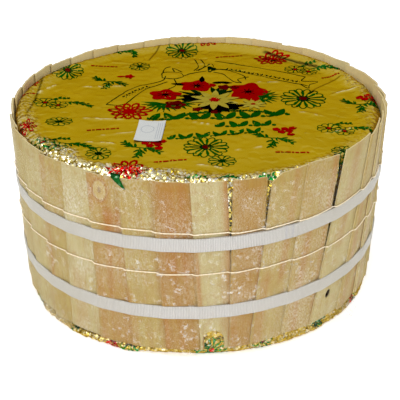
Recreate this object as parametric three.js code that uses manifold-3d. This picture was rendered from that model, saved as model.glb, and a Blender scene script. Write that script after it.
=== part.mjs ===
// A blue-cheese wheel as it leaves the dairy: the drum of cheese wrapped in two sheets of printed gold
// foil, a belt of thin poplar slats laid round it like shingles, two threads and two woven straps that
// hold the slats, a paper label on top and a sleeve of clear film round the belt.
//
// Millimetres, +Z up. The origin is the centre of the wheel's underside, and -Y is the front.
// Angles run round the wheel from the front, and grow towards +X.

import * as THREE from "three";
import { mergeVertices } from "three/addons/utils/BufferGeometryUtils.js";
import Module from "manifold-3d";

const wasm = await Module();
wasm.setup();

// ---- Driving dimensions ------------------------------------------------------------------------

const CLEARANCE = 0.3; // between any two pieces that lie on each other

// Cheese and foil
const WHEEL_HEIGHT = 155; // over both sheets of foil
const CHEESE_RADIUS = 153; // at the wheel's top
const CHEESE_EDGE_ROUND = 9; // radius of the rim between face and side
const TAPER = 0.029; // how much narrower the wheel is at its foot, as a share
const FOIL_THICKNESS = 0.4;
const TOP_FOIL_HEM = 34; // height at which the top sheet ends
const BOTTOM_FOIL_HEM = 62; // height to which the bottom sheet is folded up
const ROUND_SEGMENTS = 72;

// Slat belt
const SLAT_COUNT = 36;
const SLAT_LENGTH = 149.5;
const SLAT_THICKNESS = 1.6;
const SLAT_SPARE_WIDTH = 3.2; // how far a slat reaches under its neighbour, on average
const BELT_FOOT = 9.2; // height of the slats' lower ends
const BELT_RISE = 4.4; // how much higher the belt sits on its +X side than on the axis
const BACK_RISE = 3; // how much more at the back
const LEFT_RISE = 6; // and on the left, just behind the middle
const LEFT_RISE_PLACE = -110; // degrees
const RISE_SPREAD = 37; // degrees to each side of those two places
const FIRST_EDGE = -0.1; // of slat 1's left edge from the front, as a share of the mean spacing
const SPACING_UNEVENNESS = 0.03; // shift of a slat to and fro, as a share of the mean spacing
const FOOT_UNEVENNESS = 0.6; // rise and fall of a slat's end
const SPACING_PACE = 2.4; // radians from slat to slat of the sine that shifts them
const FOOT_PACE = 4.1; // and of the sine that raises them
const CUT_SLOPE = 1.2; // how far a slat's sawn ends are off square
const NEAREST_EDGES = 0.57; // least spacing of two slats' edges, as a share of the mean spacing

// Notch in the foot of slat 1 and worm hole in slat 5
const NOTCH_RADIUS = 8.6;
const NOTCH_DEPTH = 18; // from the slat's foot to the notch's round end
const NOTCH_PLACE = 10.2; // from the slat's left edge to the middle of the notch
const HOLE_WIDTH = 5;
const HOLE_HEIGHT = 7.6;
const HOLE_ABOVE_FOOT = 22;
const HOLE_PLACE = 14.5; // from the left edge
const CUTTER_LENGTH = 40;

// Threads
const THREAD_DIAMETER = 0.9;
const UPPER_THREAD_HEIGHT = 115.6;
const UPPER_THREAD_TILT = 3; // how much lower it hangs on the left, and higher on the right
const LOWER_THREAD_HEIGHT = 80;
const LOWER_THREAD_RISE = 5; // how much higher it runs on the right
const THREAD_STEP = 2.6; // length of a thread's climb from one slat to the next
const THREAD_TOUCH = 0.5; // how far ahead of the next slat's edge the climb ends

// Straps
const STRAP_WIDTH = 11.3;
const STRAP_THICKNESS = 0.6;
const STRAP_OVERLAP = 70; // length of the pressed joint
const STRAP_STEPS = 84; // faces round a strap
const STRAP_CLIMB = 20; // degrees in which a strap climbs on to its own start
const UPPER_STRAP_HEIGHT = 106.3;
const LOWER_STRAP_HEIGHT = 44.8;
const STRAP_RISE = 6.6; // how much higher a strap runs on the right
const UPPER_STRAP_END = 28; // degrees
const LOWER_STRAP_END = 205;

// Label and film
const LABEL_WIDTH = 22;
const LABEL_LENGTH = 40;
const LABEL_THICKNESS = 0.3;
const LABEL_PLACE = [-39, -60];
const LABEL_TURN = -4; // degrees
const FILM_THICKNESS = 0.3;
const FILM_LOW = 4; // below the slats' feet
const FILM_HIGH = 6; // below the slats' tops

// The slats that the packer left out of line, by their number: shift and lean are shares of the mean
// spacing; rise, extra width and the slope of the sawn ends are millimetres.
const UNEVEN = {
  1: { shift: 0.01, lean: -0.31, rise: -0.4, width: -3.2 },
  2: { shift: 0.03, rise: -1.5, width: -3.9, slope: -1.5 },
  3: { shift: -0.185, lean: 0.51, rise: 0.5, slope: 1.5 },
  4: { shift: -0.14, lean: 0.57, rise: 1.5, width: 3.4, slope: -3 },
  5: { shift: 0.086, lean: 0.95, rise: 0.5, width: 3.7 },
  6: { shift: 0.34, lean: 1.1, rise: 0.5, width: 4 },
  7: { shift: 0.34, lean: 0.8, rise: 0.4 },
  8: { shift: 0.3, lean: 0.5 },
  9: { shift: 0.2, lean: 0.25 },
  33: { lean: 0.18, rise: 0.3 },
  34: { lean: -0.08, rise: -1.5 },
  35: { lean: -0.2 },
  36: { shift: 0.03, lean: -0.33, rise: -0.5 },
};

// ---- Sizes that follow ---------------------------------------------------------------------------

const CHEESE_LIFT = FOIL_THICKNESS + CLEARANCE;
const BOTTOM_SHEET_LOOSENESS = CLEARANCE + FOIL_THICKNESS + CLEARANCE;
const FOIL_OUTER = CHEESE_RADIUS + BOTTOM_SHEET_LOOSENESS + FOIL_THICKNESS;
const PITCH = (2 * Math.PI) / SLAT_COUNT;
const MEAN_SPACING = PITCH * (FOIL_OUTER + 2 * SLAT_THICKNESS);
// A slat drops by this much for each millimetre across, so that the next one clears it.
const STEEPEST_DROP = (SLAT_THICKNESS + CLEARANCE) / (NEAREST_EDGES * MEAN_SPACING * (1 - TAPER));
const DEEPEST_SLAT =
  SLAT_THICKNESS * 2 + CLEARANCE + STEEPEST_DROP * (SLAT_SPARE_WIDTH + (1 - NEAREST_EDGES) * MEAN_SPACING);
const BELT_RADIUS = FOIL_OUTER + CLEARANCE + DEEPEST_SLAT; // of the slats' outer edges, at wheel height
const STRAP_LIFT = STRAP_THICKNESS + CLEARANCE;
const OUTER_LAYER = CLEARANCE + STRAP_LIFT + STRAP_THICKNESS; // where a strap lies double
const THREAD_LIFT = CLEARANCE + THREAD_DIAMETER / 2;
const FILM_LIFT = Math.max(OUTER_LAYER, THREAD_LIFT + THREAD_DIAMETER / 2) + CLEARANCE;

// ---- Small helpers -------------------------------------------------------------------------------

const radians = (degrees) => (degrees * Math.PI) / 180;

/** Share of its full radius that the tapered wheel has at height z. */
const narrowing = (z) => 1 - TAPER * (1 - z / WHEEL_HEIGHT);

/** Radius of the cone through the slats' outer edges. */
const beltRadius = (z) => BELT_RADIUS * narrowing(z);

/** How much higher the slats stand at an angle round the wheel. */
function beltRise(angle) {
  const hump = (degrees) => {
    const away = angle - radians(degrees);
    return Math.exp(-((Math.atan2(Math.sin(away), Math.cos(away)) / radians(RISE_SPREAD)) ** 2));
  };
  return BELT_RISE * Math.sin(angle) + BACK_RISE * hump(180) + LEFT_RISE * hump(LEFT_RISE_PLACE);
}

/** How much higher the straps run at an angle round the wheel. */
const strapRise = (angle) => STRAP_RISE * Math.sin(angle);

/** The point at an angle from the front, a radius and a height. */
const around = (angle, radius, z) => [radius * Math.sin(angle), -radius * Math.cos(angle), z];

function solidMesh(name, geometry, color, roughness, metalness = 0) {
  const mesh = new THREE.Mesh(geometry, new THREE.MeshStandardMaterial({ color, roughness, metalness }));
  mesh.name = name;
  return mesh;
}

/**
 * A closed solid between an outer and an inner sheet of points. Each sheet is a function of the column
 * and the row; columns run towards growing angles and rows run upwards. A sheet that wraps meets itself.
 */
function sheetSolid(columns, rows, outer, inner, wraps = false) {
  const across = wraps ? columns : columns + 1;
  const positions = [];
  for (const sheet of [outer, inner]) {
    for (let row = 0; row <= rows; row++) {
      for (let column = 0; column < across; column++) positions.push(...sheet(column, row));
    }
  }
  const back = across * (rows + 1);
  const at = (column, row) => row * across + (column % across);
  const index = [];
  const quad = (a, b, c, d) => index.push(a, b, c, a, c, d);
  for (let column = 0; column < columns; column++) {
    const [left, right] = [column, column + 1];
    for (let row = 0; row < rows; row++) {
      quad(at(left, row), at(right, row), at(right, row + 1), at(left, row + 1));
      quad(back + at(left, row), back + at(left, row + 1), back + at(right, row + 1), back + at(right, row));
    }
    quad(at(left, 0), back + at(left, 0), back + at(right, 0), at(right, 0));
    quad(at(left, rows), at(right, rows), back + at(right, rows), back + at(left, rows));
  }
  for (let row = 0; row < rows && !wraps; row++) {
    quad(at(0, row), at(0, row + 1), back + at(0, row + 1), back + at(0, row));
    quad(at(columns, row), back + at(columns, row), back + at(columns, row + 1), at(columns, row + 1));
  }
  return indexedGeometry(positions, index);
}

function indexedGeometry(positions, index) {
  const geometry = new THREE.BufferGeometry();
  geometry.setAttribute("position", new THREE.Float32BufferAttribute(positions, 3));
  geometry.setIndex(index);
  geometry.computeVertexNormals();
  return geometry;
}

/** A solid of revolution about +Z from [radius, height] points that close on the axis or on themselves. */
function turned(profile) {
  const points = profile.map(([radius, height]) => new THREE.Vector2(radius, height));
  return new THREE.LatheGeometry(points, ROUND_SEGMENTS).rotateX(Math.PI / 2);
}

function toSolid(geometry) {
  const bare = geometry.clone();
  bare.deleteAttribute("normal");
  bare.deleteAttribute("uv");
  const merged = mergeVertices(bare);
  const vertProperties = new Float32Array(merged.attributes.position.array);
  const triVerts = new Uint32Array(merged.index.array);
  return new wasm.Manifold(new wasm.Mesh({ numProp: 3, vertProperties, triVerts }));
}

function cut(geometry, ...tools) {
  let solid = toSolid(geometry);
  for (const tool of tools) solid = solid.subtract(toSolid(tool));
  const { vertProperties, triVerts } = solid.getMesh();
  return indexedGeometry(Array.from(vertProperties), Array.from(triVerts));
}

// ---- Cheese and foil -----------------------------------------------------------------------------

/** Points up the rounded side of the wheel, all of them a given distance outside the cheese. */
function wheelSide(outside, fromHeight, toHeight, low, high) {
  const round = CHEESE_EDGE_ROUND + outside;
  const side = (z) => CHEESE_RADIUS * narrowing(z) + outside;
  const points = [];
  const steps = 4;
  if (fromHeight <= low) {
    for (let step = 0; step <= steps; step++) {
      const turn = (Math.PI / 2) * (step / steps);
      points.push([side(low) - round + round * Math.sin(turn), low + round - round * Math.cos(turn)]);
    }
  } else points.push([side(fromHeight), fromHeight]);
  if (toHeight >= high) {
    for (let step = 0; step <= steps; step++) {
      const turn = (Math.PI / 2) * (step / steps);
      points.push([side(high) - round + round * Math.cos(turn), high - round + round * Math.sin(turn)]);
    }
  } else points.push([side(toHeight), toHeight]);
  return points;
}

function makeCheese() {
  const low = CHEESE_LIFT;
  const high = WHEEL_HEIGHT - CHEESE_LIFT;
  const profile = [[0, low], ...wheelSide(0, low, high, low, high), [0, high]];
  return solidMesh("cheese_wheel", turned(profile), 0xe9dfc0, 0.6);
}

function makeTopFoil() {
  const outer = wheelSide(CLEARANCE + FOIL_THICKNESS, TOP_FOIL_HEM, WHEEL_HEIGHT, 0, WHEEL_HEIGHT);
  const under = WHEEL_HEIGHT - FOIL_THICKNESS;
  const inner = wheelSide(CLEARANCE, TOP_FOIL_HEM, under, 0, under).reverse();
  const profile = [...outer, [0, WHEEL_HEIGHT], [0, under], ...inner, outer[0]];
  return solidMesh("foil_top_sheet", turned(profile), 0xb08d1e, 0.3, 0.9);
}

function makeBottomFoil() {
  const loose = BOTTOM_SHEET_LOOSENESS;
  const outer = wheelSide(loose + FOIL_THICKNESS, 0, BOTTOM_FOIL_HEM, 0, WHEEL_HEIGHT);
  const inner = wheelSide(loose, FOIL_THICKNESS, BOTTOM_FOIL_HEM, FOIL_THICKNESS, WHEEL_HEIGHT).reverse();
  const profile = [[0, 0], ...outer, ...inner, [0, FOIL_THICKNESS]];
  return solidMesh("foil_bottom_sheet", turned(profile), 0xb8962a, 0.32, 0.9);
}

// ---- Slat belt -----------------------------------------------------------------------------------

/** Where slat number 1, 2, 3... lies: its left edge's angle at a height, its ends and its width. */
function slatPlace(number) {
  const slat = ((number - 1 + SLAT_COUNT) % SLAT_COUNT) + 1;
  const turns = (number - slat) / SLAT_COUNT;
  const wobble = Math.sin(slat * SPACING_PACE);
  const { shift = 0, lean = 0, rise = 0, width = 0, slope = CUT_SLOPE * wobble } = UNEVEN[slat] ?? {};
  const place = slat - 1 + FIRST_EDGE + shift + SPACING_UNEVENNESS * wobble;
  const middle = PITCH * place + turns * 2 * Math.PI;
  const leftEdge = (z) => middle + PITCH * lean * (z / WHEEL_HEIGHT - 0.5);
  const centre = middle + PITCH / 2;
  const foot = BELT_FOOT + beltRise(centre) + rise + FOOT_UNEVENNESS * Math.sin(slat * FOOT_PACE);
  const fullWidth = MEAN_SPACING + SLAT_SPARE_WIDTH + width;
  return { leftEdge, centre, foot, top: foot + SLAT_LENGTH, width: fullWidth, slope };
}

/** How much a slat drops towards its right edge at a height, for each millimetre across. */
function slatDrop(number, z) {
  const { leftEdge, width } = slatPlace(number);
  const spacing = (slatPlace(number + 1).leftEdge(z) - leftEdge(z)) * beltRadius(z);
  const overlap = Math.max(0, width - spacing);
  return (SLAT_THICKNESS + CLEARANCE + STEEPEST_DROP * overlap) / width;
}

/** The point on or under a slat's outer face, a distance across it from its left edge. */
function onSlat(number, across, z, lift = 0) {
  const radius = beltRadius(z) - slatDrop(number, z) * across + lift;
  return around(slatPlace(number).leftEdge(z) + across / beltRadius(z), radius, z);
}

function slatGeometry(number) {
  const columns = 3;
  const rows = 3;
  const { foot, top, width, slope } = slatPlace(number);
  const face = (lift) => (column, row) => {
    const end = slope * (column / columns - 0.5);
    const z = foot + end + (top - foot) * (row / rows);
    return onSlat(number, (width * column) / columns, z, lift);
  };
  return sheetSolid(columns, rows, face(0), face(-SLAT_THICKNESS));
}

/** A round bar that points outwards through the belt at an angle and a height. */
function radialBar(angle, z, width, height) {
  const bar = new THREE.CylinderGeometry(0.5, 0.5, CUTTER_LENGTH, 20).scale(width, 1, height);
  return bar.rotateZ(angle).translate(...around(angle, beltRadius(z), z));
}

function cutNotch(number, geometry) {
  const { leftEdge, foot } = slatPlace(number);
  const roundCentre = foot + NOTCH_DEPTH - NOTCH_RADIUS;
  const angle = leftEdge(foot) + NOTCH_PLACE / beltRadius(foot);
  const across = NOTCH_RADIUS * 2;
  const legs = 5;
  const below = roundCentre - NOTCH_RADIUS;
  const slot = [];
  for (let leg = 0; leg <= legs; leg++) {
    slot.push(radialBar(angle, roundCentre + (below - roundCentre) * (leg / legs), across, across));
  }
  return cut(geometry, ...slot);
}

function cutHole(number, geometry) {
  const { leftEdge, foot } = slatPlace(number);
  const z = foot + HOLE_ABOVE_FOOT;
  const angle = leftEdge(z) + HOLE_PLACE / beltRadius(z);
  return cut(geometry, radialBar(angle, z, HOLE_WIDTH, HOLE_HEIGHT));
}

function makeSlats() {
  const slats = [];
  const notched = 1;
  const bored = 5;
  const colors = [0xd2be8c, 0xc9ae78, 0xd8c795, 0xc9a267];
  for (let number = 1; number <= SLAT_COUNT; number++) {
    let geometry = slatGeometry(number);
    if (number === notched) geometry = cutNotch(number, geometry);
    if (number === bored) geometry = cutHole(number, geometry);
    const name = `slat_${String(number).padStart(2, "0")}`;
    slats.push(solidMesh(name, geometry, colors[number % colors.length], 0.75));
  }
  return slats;
}

// ---- Threads -------------------------------------------------------------------------------------

/** A closed ring of round thread through points that lie round the wheel. */
function threadRing(points) {
  const sides = 6;
  const radius = THREAD_DIAMETER / 2;
  const positions = [];
  const index = [];
  points.forEach(([x, y, z], i) => {
    const outward = Math.hypot(x, y);
    for (let side = 0; side < sides; side++) {
      const turn = (2 * Math.PI * side) / sides;
      const stretch = 1 + (radius * Math.cos(turn)) / outward;
      positions.push(x * stretch, y * stretch, z + radius * Math.sin(turn));
      const next = (i + 1) % points.length;
      const [a, b] = [i * sides + side, next * sides + side];
      const [c, d] = [next * sides + ((side + 1) % sides), i * sides + ((side + 1) % sides)];
      index.push(a, b, c, a, c, d);
    }
  });
  return indexedGeometry(positions, index);
}

/** The thread's route: down across each slat's face, then up over the edge of the next. */
function threadRoute(heightAt) {
  const route = [];
  for (let number = 1; number <= SLAT_COUNT; number++) {
    const start = slatPlace(number);
    const z = heightAt(start.centre);
    const left = start.leftEdge(z) - THREAD_TOUCH / beltRadius(z);
    const right = slatPlace(number + 1).leftEdge(z) - (THREAD_TOUCH + THREAD_STEP) / beltRadius(z);
    route.push(around(left, beltRadius(z) + THREAD_LIFT, heightAt(left)));
    for (const share of [0.5, 1]) {
      const angle = left + (right - left) * share;
      const across = Math.min(start.width, (angle - start.leftEdge(z)) * beltRadius(z));
      const radius = beltRadius(z) - slatDrop(number, z) * across + THREAD_LIFT;
      route.push(around(angle, radius, heightAt(angle)));
    }
  }
  return route;
}

/** The upper thread sags on the left and rises on the right, and stays over the upper strap's edge. */
function upperThreadHeight(angle) {
  const aside = Math.sin(angle);
  const hanging = UPPER_THREAD_HEIGHT + UPPER_THREAD_TILT * aside * Math.abs(aside);
  const strapEdge = UPPER_STRAP_HEIGHT + strapRise(angle) + STRAP_WIDTH / 2;
  return Math.max(hanging, strapEdge + THREAD_LIFT);
}

const lowerThreadHeight = (angle) => LOWER_THREAD_HEIGHT + LOWER_THREAD_RISE * Math.sin(angle);

function makeThreads() {
  const color = 0xead9b8;
  return [
    solidMesh("thread_upper", threadRing(threadRoute(upperThreadHeight)), color, 0.8),
    solidMesh("thread_lower", threadRing(threadRoute(lowerThreadHeight)), color, 0.8),
  ];
}

// ---- Straps --------------------------------------------------------------------------------------

/** A strap goes once round the belt and then lies on its own start, where it is pressed together. */
function strapGeometry(height, endDegrees) {
  const overlap = STRAP_OVERLAP / BELT_RADIUS;
  const climb = radians(STRAP_CLIMB);
  const start = radians(endDegrees) - overlap;
  const edge = (lift) => (column, row) => {
    const wound = (2 * Math.PI + overlap) * (column / STRAP_STEPS);
    const onTop = THREE.MathUtils.smoothstep(wound, 2 * Math.PI - climb, 2 * Math.PI - climb / 4);
    const angle = start + wound;
    const z = height + strapRise(angle) + STRAP_WIDTH * (row - 0.5);
    return around(angle, beltRadius(z) + lift + STRAP_LIFT * onTop, z);
  };
  return sheetSolid(STRAP_STEPS, 1, edge(CLEARANCE + STRAP_THICKNESS), edge(CLEARANCE));
}

function makeStraps() {
  const color = 0xd9d6d2;
  return [
    solidMesh("strap_upper", strapGeometry(UPPER_STRAP_HEIGHT, UPPER_STRAP_END), color, 0.45),
    solidMesh("strap_lower", strapGeometry(LOWER_STRAP_HEIGHT, LOWER_STRAP_END), color, 0.45),
  ];
}

// ---- Label and film ------------------------------------------------------------------------------

function makeLabel() {
  const label = solidMesh(
    "paper_label",
    new THREE.BoxGeometry(LABEL_WIDTH, LABEL_LENGTH, LABEL_THICKNESS),
    0xd8dae0,
    0.5,
  );
  label.position.set(...LABEL_PLACE, WHEEL_HEIGHT + CLEARANCE + LABEL_THICKNESS / 2);
  label.rotation.z = radians(LABEL_TURN);
  return label;
}

function makeFilm() {
  const rows = 2;
  const low = BELT_FOOT - FILM_LOW;
  const high = BELT_FOOT + SLAT_LENGTH - FILM_HIGH;
  const face = (lift) => (column, row) => {
    const angle = (2 * Math.PI * column) / ROUND_SEGMENTS;
    const z = low + (high - low) * (row / rows) + beltRise(angle) * (row / rows);
    return around(angle, beltRadius(z) + lift, z);
  };
  const film = sheetSolid(ROUND_SEGMENTS, rows, face(FILM_LIFT + FILM_THICKNESS), face(FILM_LIFT), true);
  return solidMesh("clear_film", film, 0xf4f4f2, 0.15);
}

// ---- The whole wheel -----------------------------------------------------------------------------

const wheel = new THREE.Group();
wheel.add(makeCheese(), makeTopFoil(), makeBottomFoil());
wheel.add(...makeSlats(), ...makeThreads(), ...makeStraps());
wheel.add(makeLabel(), makeFilm());

export default wheel;
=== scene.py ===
# %% [markdown]
# # A blue cheese wheel in its foil, slats and straps
#
# The object is a drum of blue cheese as it is shipped: wrapped in printed gold foil, belted with thin
# poplar slats that overlap like shingles, and held by two threads and two woven straps. The measured
# model gives every piece its place and size. This lesson gives each piece its surface: the shapes are
# functions worked out on numpy grids, in millimetres, and the finishes are procedural materials.

# %% Load the measured model
import math

import bpy
import numpy as np
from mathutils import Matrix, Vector


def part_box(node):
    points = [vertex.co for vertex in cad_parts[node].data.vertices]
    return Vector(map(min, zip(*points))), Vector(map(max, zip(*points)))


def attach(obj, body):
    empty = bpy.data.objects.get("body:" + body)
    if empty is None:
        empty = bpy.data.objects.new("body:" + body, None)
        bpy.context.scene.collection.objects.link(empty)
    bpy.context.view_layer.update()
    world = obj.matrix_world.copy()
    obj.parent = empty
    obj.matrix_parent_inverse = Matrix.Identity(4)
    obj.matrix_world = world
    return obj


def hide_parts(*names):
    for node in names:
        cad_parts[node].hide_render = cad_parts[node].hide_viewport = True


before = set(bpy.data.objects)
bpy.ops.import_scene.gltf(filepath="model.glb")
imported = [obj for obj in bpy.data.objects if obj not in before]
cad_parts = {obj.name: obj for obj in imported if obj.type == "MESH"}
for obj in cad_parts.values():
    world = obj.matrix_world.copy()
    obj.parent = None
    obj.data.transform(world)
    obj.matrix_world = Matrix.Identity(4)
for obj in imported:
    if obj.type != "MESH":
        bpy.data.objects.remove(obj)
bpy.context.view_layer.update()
MM = 0.001

# %% [markdown]
# ## Camera, light and floor
#
# A product picture of a round box is taken from a little above, with a long lens so that the drum
# doesn't look stretched. The light is a studio's: white from all round, with a wide soft lamp over the
# camera's shoulder and two small ones overhead, because foil only looks like metal when it has something
# bright to mirror.

# %% Camera
CAMERA_PLACE = (0.0, -0.8089, 0.4844)
CAMERA_PITCH = 27.61  # degrees below level
CAMERA_TURN = -0.1  # degrees
LENS = 91.04
WHEEL_MIDDLE = (0, 0, 0.08)

camera_data = bpy.data.cameras.new("camera")
camera_data.sensor_width = 36
camera_data.lens = LENS
camera = bpy.data.objects.new("camera", camera_data)
camera.location = CAMERA_PLACE
camera.rotation_euler = (math.radians(90 - CAMERA_PITCH), 0, math.radians(CAMERA_TURN))
bpy.context.scene.collection.objects.link(camera)
bpy.context.scene.camera = camera
bpy.context.scene.view_settings.view_transform = "Standard"
print("camera to wheel, m:", round(math.dist(CAMERA_PLACE, WHEEL_MIDDLE), 3))

# %% [markdown]
# ## Colours and nodes
#
# A finish is a tree of shader nodes, and could be put together by hand in the node editor. Written out
# instead, each node is one line that names its inputs, and a whole material reads from top to bottom.
# One function adds a node of any kind. Hex colours are what a colour picker shows, so they are turned
# to the linear light that the shaders count in.


# %% Colours and nodes
def rgb(hex_code):
    """An sRGB hex colour as the linear RGBA that a shader reads."""
    srgb = np.array([int(hex_code[i:i + 2], 16) / 255 for i in (1, 3, 5)])
    linear = np.where(srgb <= 0.04045, srgb / 12.92, ((srgb + 0.055) / 1.055) ** 2.4)
    return (*linear.tolist(), 1.0)


def add_node(tree, kind, settings=None, **inputs):
    """Adds a node, sets its properties, and fills or links its inputs by name or by number (as _0).

    A socket is linked as it is, and a node from its first output in use. The setting "stops" holds a
    colour ramp's (place, hex colour) pairs.
    """
    node = tree.nodes.new("ShaderNode" + kind)
    settings = dict(settings or {})
    stops = settings.pop("stops", ())
    while stops and len(node.color_ramp.elements) < len(stops):
        node.color_ramp.elements.new(0.5)
    for number, (place, color) in enumerate(stops):
        node.color_ramp.elements[number].position = place
        node.color_ramp.elements[number].color = rgb(color)
    for name, value in settings.items():
        setattr(node, name, value)
    for name, value in inputs.items():
        key = int(name[1:]) if name[1:].isdigit() else name.replace("_", " ")
        if isinstance(value, bpy.types.Node):
            value = next(output for output in value.outputs if output.enabled)
        if isinstance(value, bpy.types.NodeSocket):
            tree.links.new(value, node.inputs[key])
        else:
            node.inputs[key].default_value = value
    return node


def new_material(name):
    """A material with nothing in its node tree, and that tree."""
    material = bpy.data.materials.new(name)
    material.use_nodes = True
    material.node_tree.nodes.clear()
    return material, material.node_tree


COLOR_MIX = {"data_type": "RGBA"}
print("a mid grey in linear light:", round(rgb("#808080")[0], 3))


# %% Light
def area_lamp(name, place, aim, size, watts, color="#FFFFFF"):
    """A square soft lamp at a place in metres, turned to face its aim."""
    data = bpy.data.lights.new(name, "AREA")
    data.size = size
    data.energy = watts
    data.color = rgb(color)[:3]
    lamp = bpy.data.objects.new(name, data)
    lamp.location = place
    lamp.rotation_euler = (Vector(aim) - Vector(place)).to_track_quat("-Z", "Y").to_euler()
    bpy.context.scene.collection.objects.link(lamp)


world = bpy.data.worlds.new("white_studio")
world.use_nodes = True
world.node_tree.nodes["Background"].inputs["Color"].default_value = rgb("#FFFFFF")
world.node_tree.nodes["Background"].inputs["Strength"].default_value = 0.7
bpy.context.scene.world = world

area_lamp("key_softbox", (-0.25, -1.5, 1.25), WHEEL_MIDDLE, 0.55, 10.0, "#FFFDF8")
area_lamp("overhead_lamp", (-0.25, -0.35, 1.7), WHEEL_MIDDLE, 0.14, 4.0)
area_lamp("rim_lamp", (0.6, -0.9, 1.8), WHEEL_MIDDLE, 0.12, 4.0)
print("lamps:", len(bpy.data.lights))

# %% Floor
FLOOR_HALF = 3.0
floor_mesh = bpy.data.meshes.new("floor")
floor_corners = [(-FLOOR_HALF, -FLOOR_HALF, 0), (FLOOR_HALF, -FLOOR_HALF, 0),
                 (FLOOR_HALF, FLOOR_HALF, 0), (-FLOOR_HALF, FLOOR_HALF, 0)]
floor_mesh.from_pydata(floor_corners, [], [(0, 1, 2, 3)])
floor = bpy.data.objects.new("floor", floor_mesh)
bpy.context.scene.collection.objects.link(floor)

# Matt background paper. It glows a little, so that the room's light looks even.
floor_paint, tree = new_material("white_paper_sweep")
shader = add_node(tree, "BsdfPrincipled", Base_Color=rgb("#FFFFFF"), Roughness=0.9,
                  Emission_Color=rgb("#FFFFFF"), Emission_Strength=0.4)
add_node(tree, "OutputMaterial", Surface=shader)
floor_mesh.materials.append(floor_paint)
print("floor, m:", 2 * FLOOR_HALF)

# %% [markdown]
# ## Tools for grids
#
# Every new piece is a grid of points: rows and columns of a function of two parameters. A sheet with
# a thickness is two such grids, joined round their edges. Random but repeatable unevenness comes from
# lattice noise: random numbers at the corners of a square lattice, blended smoothly between them.


# %% Noise on arrays
LATTICE = 128  # random numbers each way before a noise repeats


def smooth_step(low, high, value):
    """0 below low, 1 above high and an S-curve between them."""
    t = np.clip((value - low) / (high - low), 0, 1)
    return t * t * (3 - 2 * t)


def lattice_noise(x, y, cell, seed):
    """Smooth random numbers from 0 to 1: lattice corners, cell apart, blended by an S-curve."""
    table = np.random.default_rng(seed).random((LATTICE, LATTICE))
    gx, gy = x / cell, y / cell
    ix, iy = np.floor(gx).astype(int), np.floor(gy).astype(int)
    sx, sy = smooth_step(0, 1, gx - ix), smooth_step(0, 1, gy - iy)
    corner = lambda dx, dy: table[(ix + dx) % LATTICE, (iy + dy) % LATTICE]
    low = corner(0, 0) * (1 - sx) + corner(1, 0) * sx
    high = corner(0, 1) * (1 - sx) + corner(1, 1) * sx
    return low * (1 - sy) + high * sy


def facets(x, y, cell, seed):
    """Crumpled sheet: each point takes the tilted plane of the nearest of a scatter of random spots."""
    rng = np.random.default_rng(seed)
    jitter, tilt = rng.random((2, LATTICE, LATTICE)), rng.normal(0, 1, (2, LATTICE, LATTICE))
    gx, gy = x / cell, y / cell
    ix, iy = np.floor(gx).astype(int), np.floor(gy).astype(int)
    nearest, height = np.full(x.shape, 9.0), np.zeros(x.shape)
    for dx in (-1, 0, 1):
        for dy in (-1, 0, 1):
            kx, ky = (ix + dx) % LATTICE, (iy + dy) % LATTICE
            off_x = gx - (ix + dx + jitter[0][kx, ky])
            off_y = gy - (iy + dy + jitter[1][kx, ky])
            away = np.hypot(off_x, off_y)
            plane = tilt[0][kx, ky] * off_x + tilt[1][kx, ky] * off_y
            height = np.where(away < nearest, plane, height)
            nearest = np.minimum(nearest, away)
    return cell * height


print("noise halfway between two corners:", lattice_noise(np.full(1, 0.5), np.zeros(1), 1, 3).round(3))


# %% Grids to meshes
def grid_faces(rows, columns, wraps=False, start=0):
    """The four-sided faces of a grid stored row by row; a wrapped grid closes on its first column."""
    row = np.arange(rows - 1)[:, None]
    column = np.arange(columns if wraps else columns - 1)[None]
    here, right = start + row * columns + column, start + row * columns + (column + 1) % columns
    return np.stack([here, right, right + columns, here + columns], -1).reshape(-1, 4)


def sheet_solid(outer, inner, wraps=False, keep=slice(None)):
    """Points and faces of the closed solid between two grids of (rows, columns, 3) points.

    Walls go wherever a face of the front has no neighbour, so they also line a hole in the kept faces.
    """
    rows, columns, _ = outer.shape
    back = rows * columns
    front = grid_faces(rows, columns, wraps)[keep]
    start, end = front.ravel(), np.roll(front, -1, 1).ravel()
    open_edge = ~np.isin(start * back + end, end * back + start)
    start, end = start[open_edge], end[open_edge]
    walls = np.stack([end, start, start + back, end + back], -1)
    points = np.concatenate([outer.reshape(-1, 3), inner.reshape(-1, 3)])
    return points, np.concatenate([front, front[:, ::-1] + back, walls])


def add_piece(name, points, faces, material, replaced=(), crease=None):
    """Makes a piece from points in millimetres and ties it to the measured model."""
    mesh = bpy.data.meshes.new(name)
    mesh.from_pydata(points * MM, [], faces if isinstance(faces, list) else faces.tolist())
    mesh.polygons.foreach_set("use_smooth", np.ones(len(mesh.polygons), bool))
    if crease:
        mesh.set_sharp_from_angle(angle=math.radians(crease))
    mesh.materials.append(material)
    piece = bpy.data.objects.new(name, mesh)
    bpy.context.scene.collection.objects.link(piece)
    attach(piece, "root")
    if replaced:
        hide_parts(*replaced)
    return piece


def add_attribute(piece, name, values):
    """Stores one number, or one vector, for each point of a piece."""
    kind = "FLOAT" if values.ndim == 1 else "FLOAT_VECTOR"
    attribute = piece.data.attributes.new(name, kind, "POINT")
    attribute.data.foreach_set("value" if values.ndim == 1 else "vector", values.astype(np.float32).ravel())


def around(angle, radius, z):
    """Points at angles from the front, radii and heights: x = r * sin(angle), y = -r * cos(angle)."""
    angle, radius, z = np.broadcast_arrays(angle, radius, z)
    return np.stack([radius * np.sin(angle), -radius * np.cos(angle), z], -1)


print("grid tools ready")

# %% [markdown]
# ## The foil's shape
#
# A sheet of foil is laid flat on the cheese and folded down over its rim. So the sheet has its own
# coordinates, as if it were still flat, and one function bends them: level as far as the rim, round
# the rim's small radius, then down the side. Relief stands out from that shape. It is calm in the
# middle and crumples into small tilted facets at the rim, where the foil had to be gathered.

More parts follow.
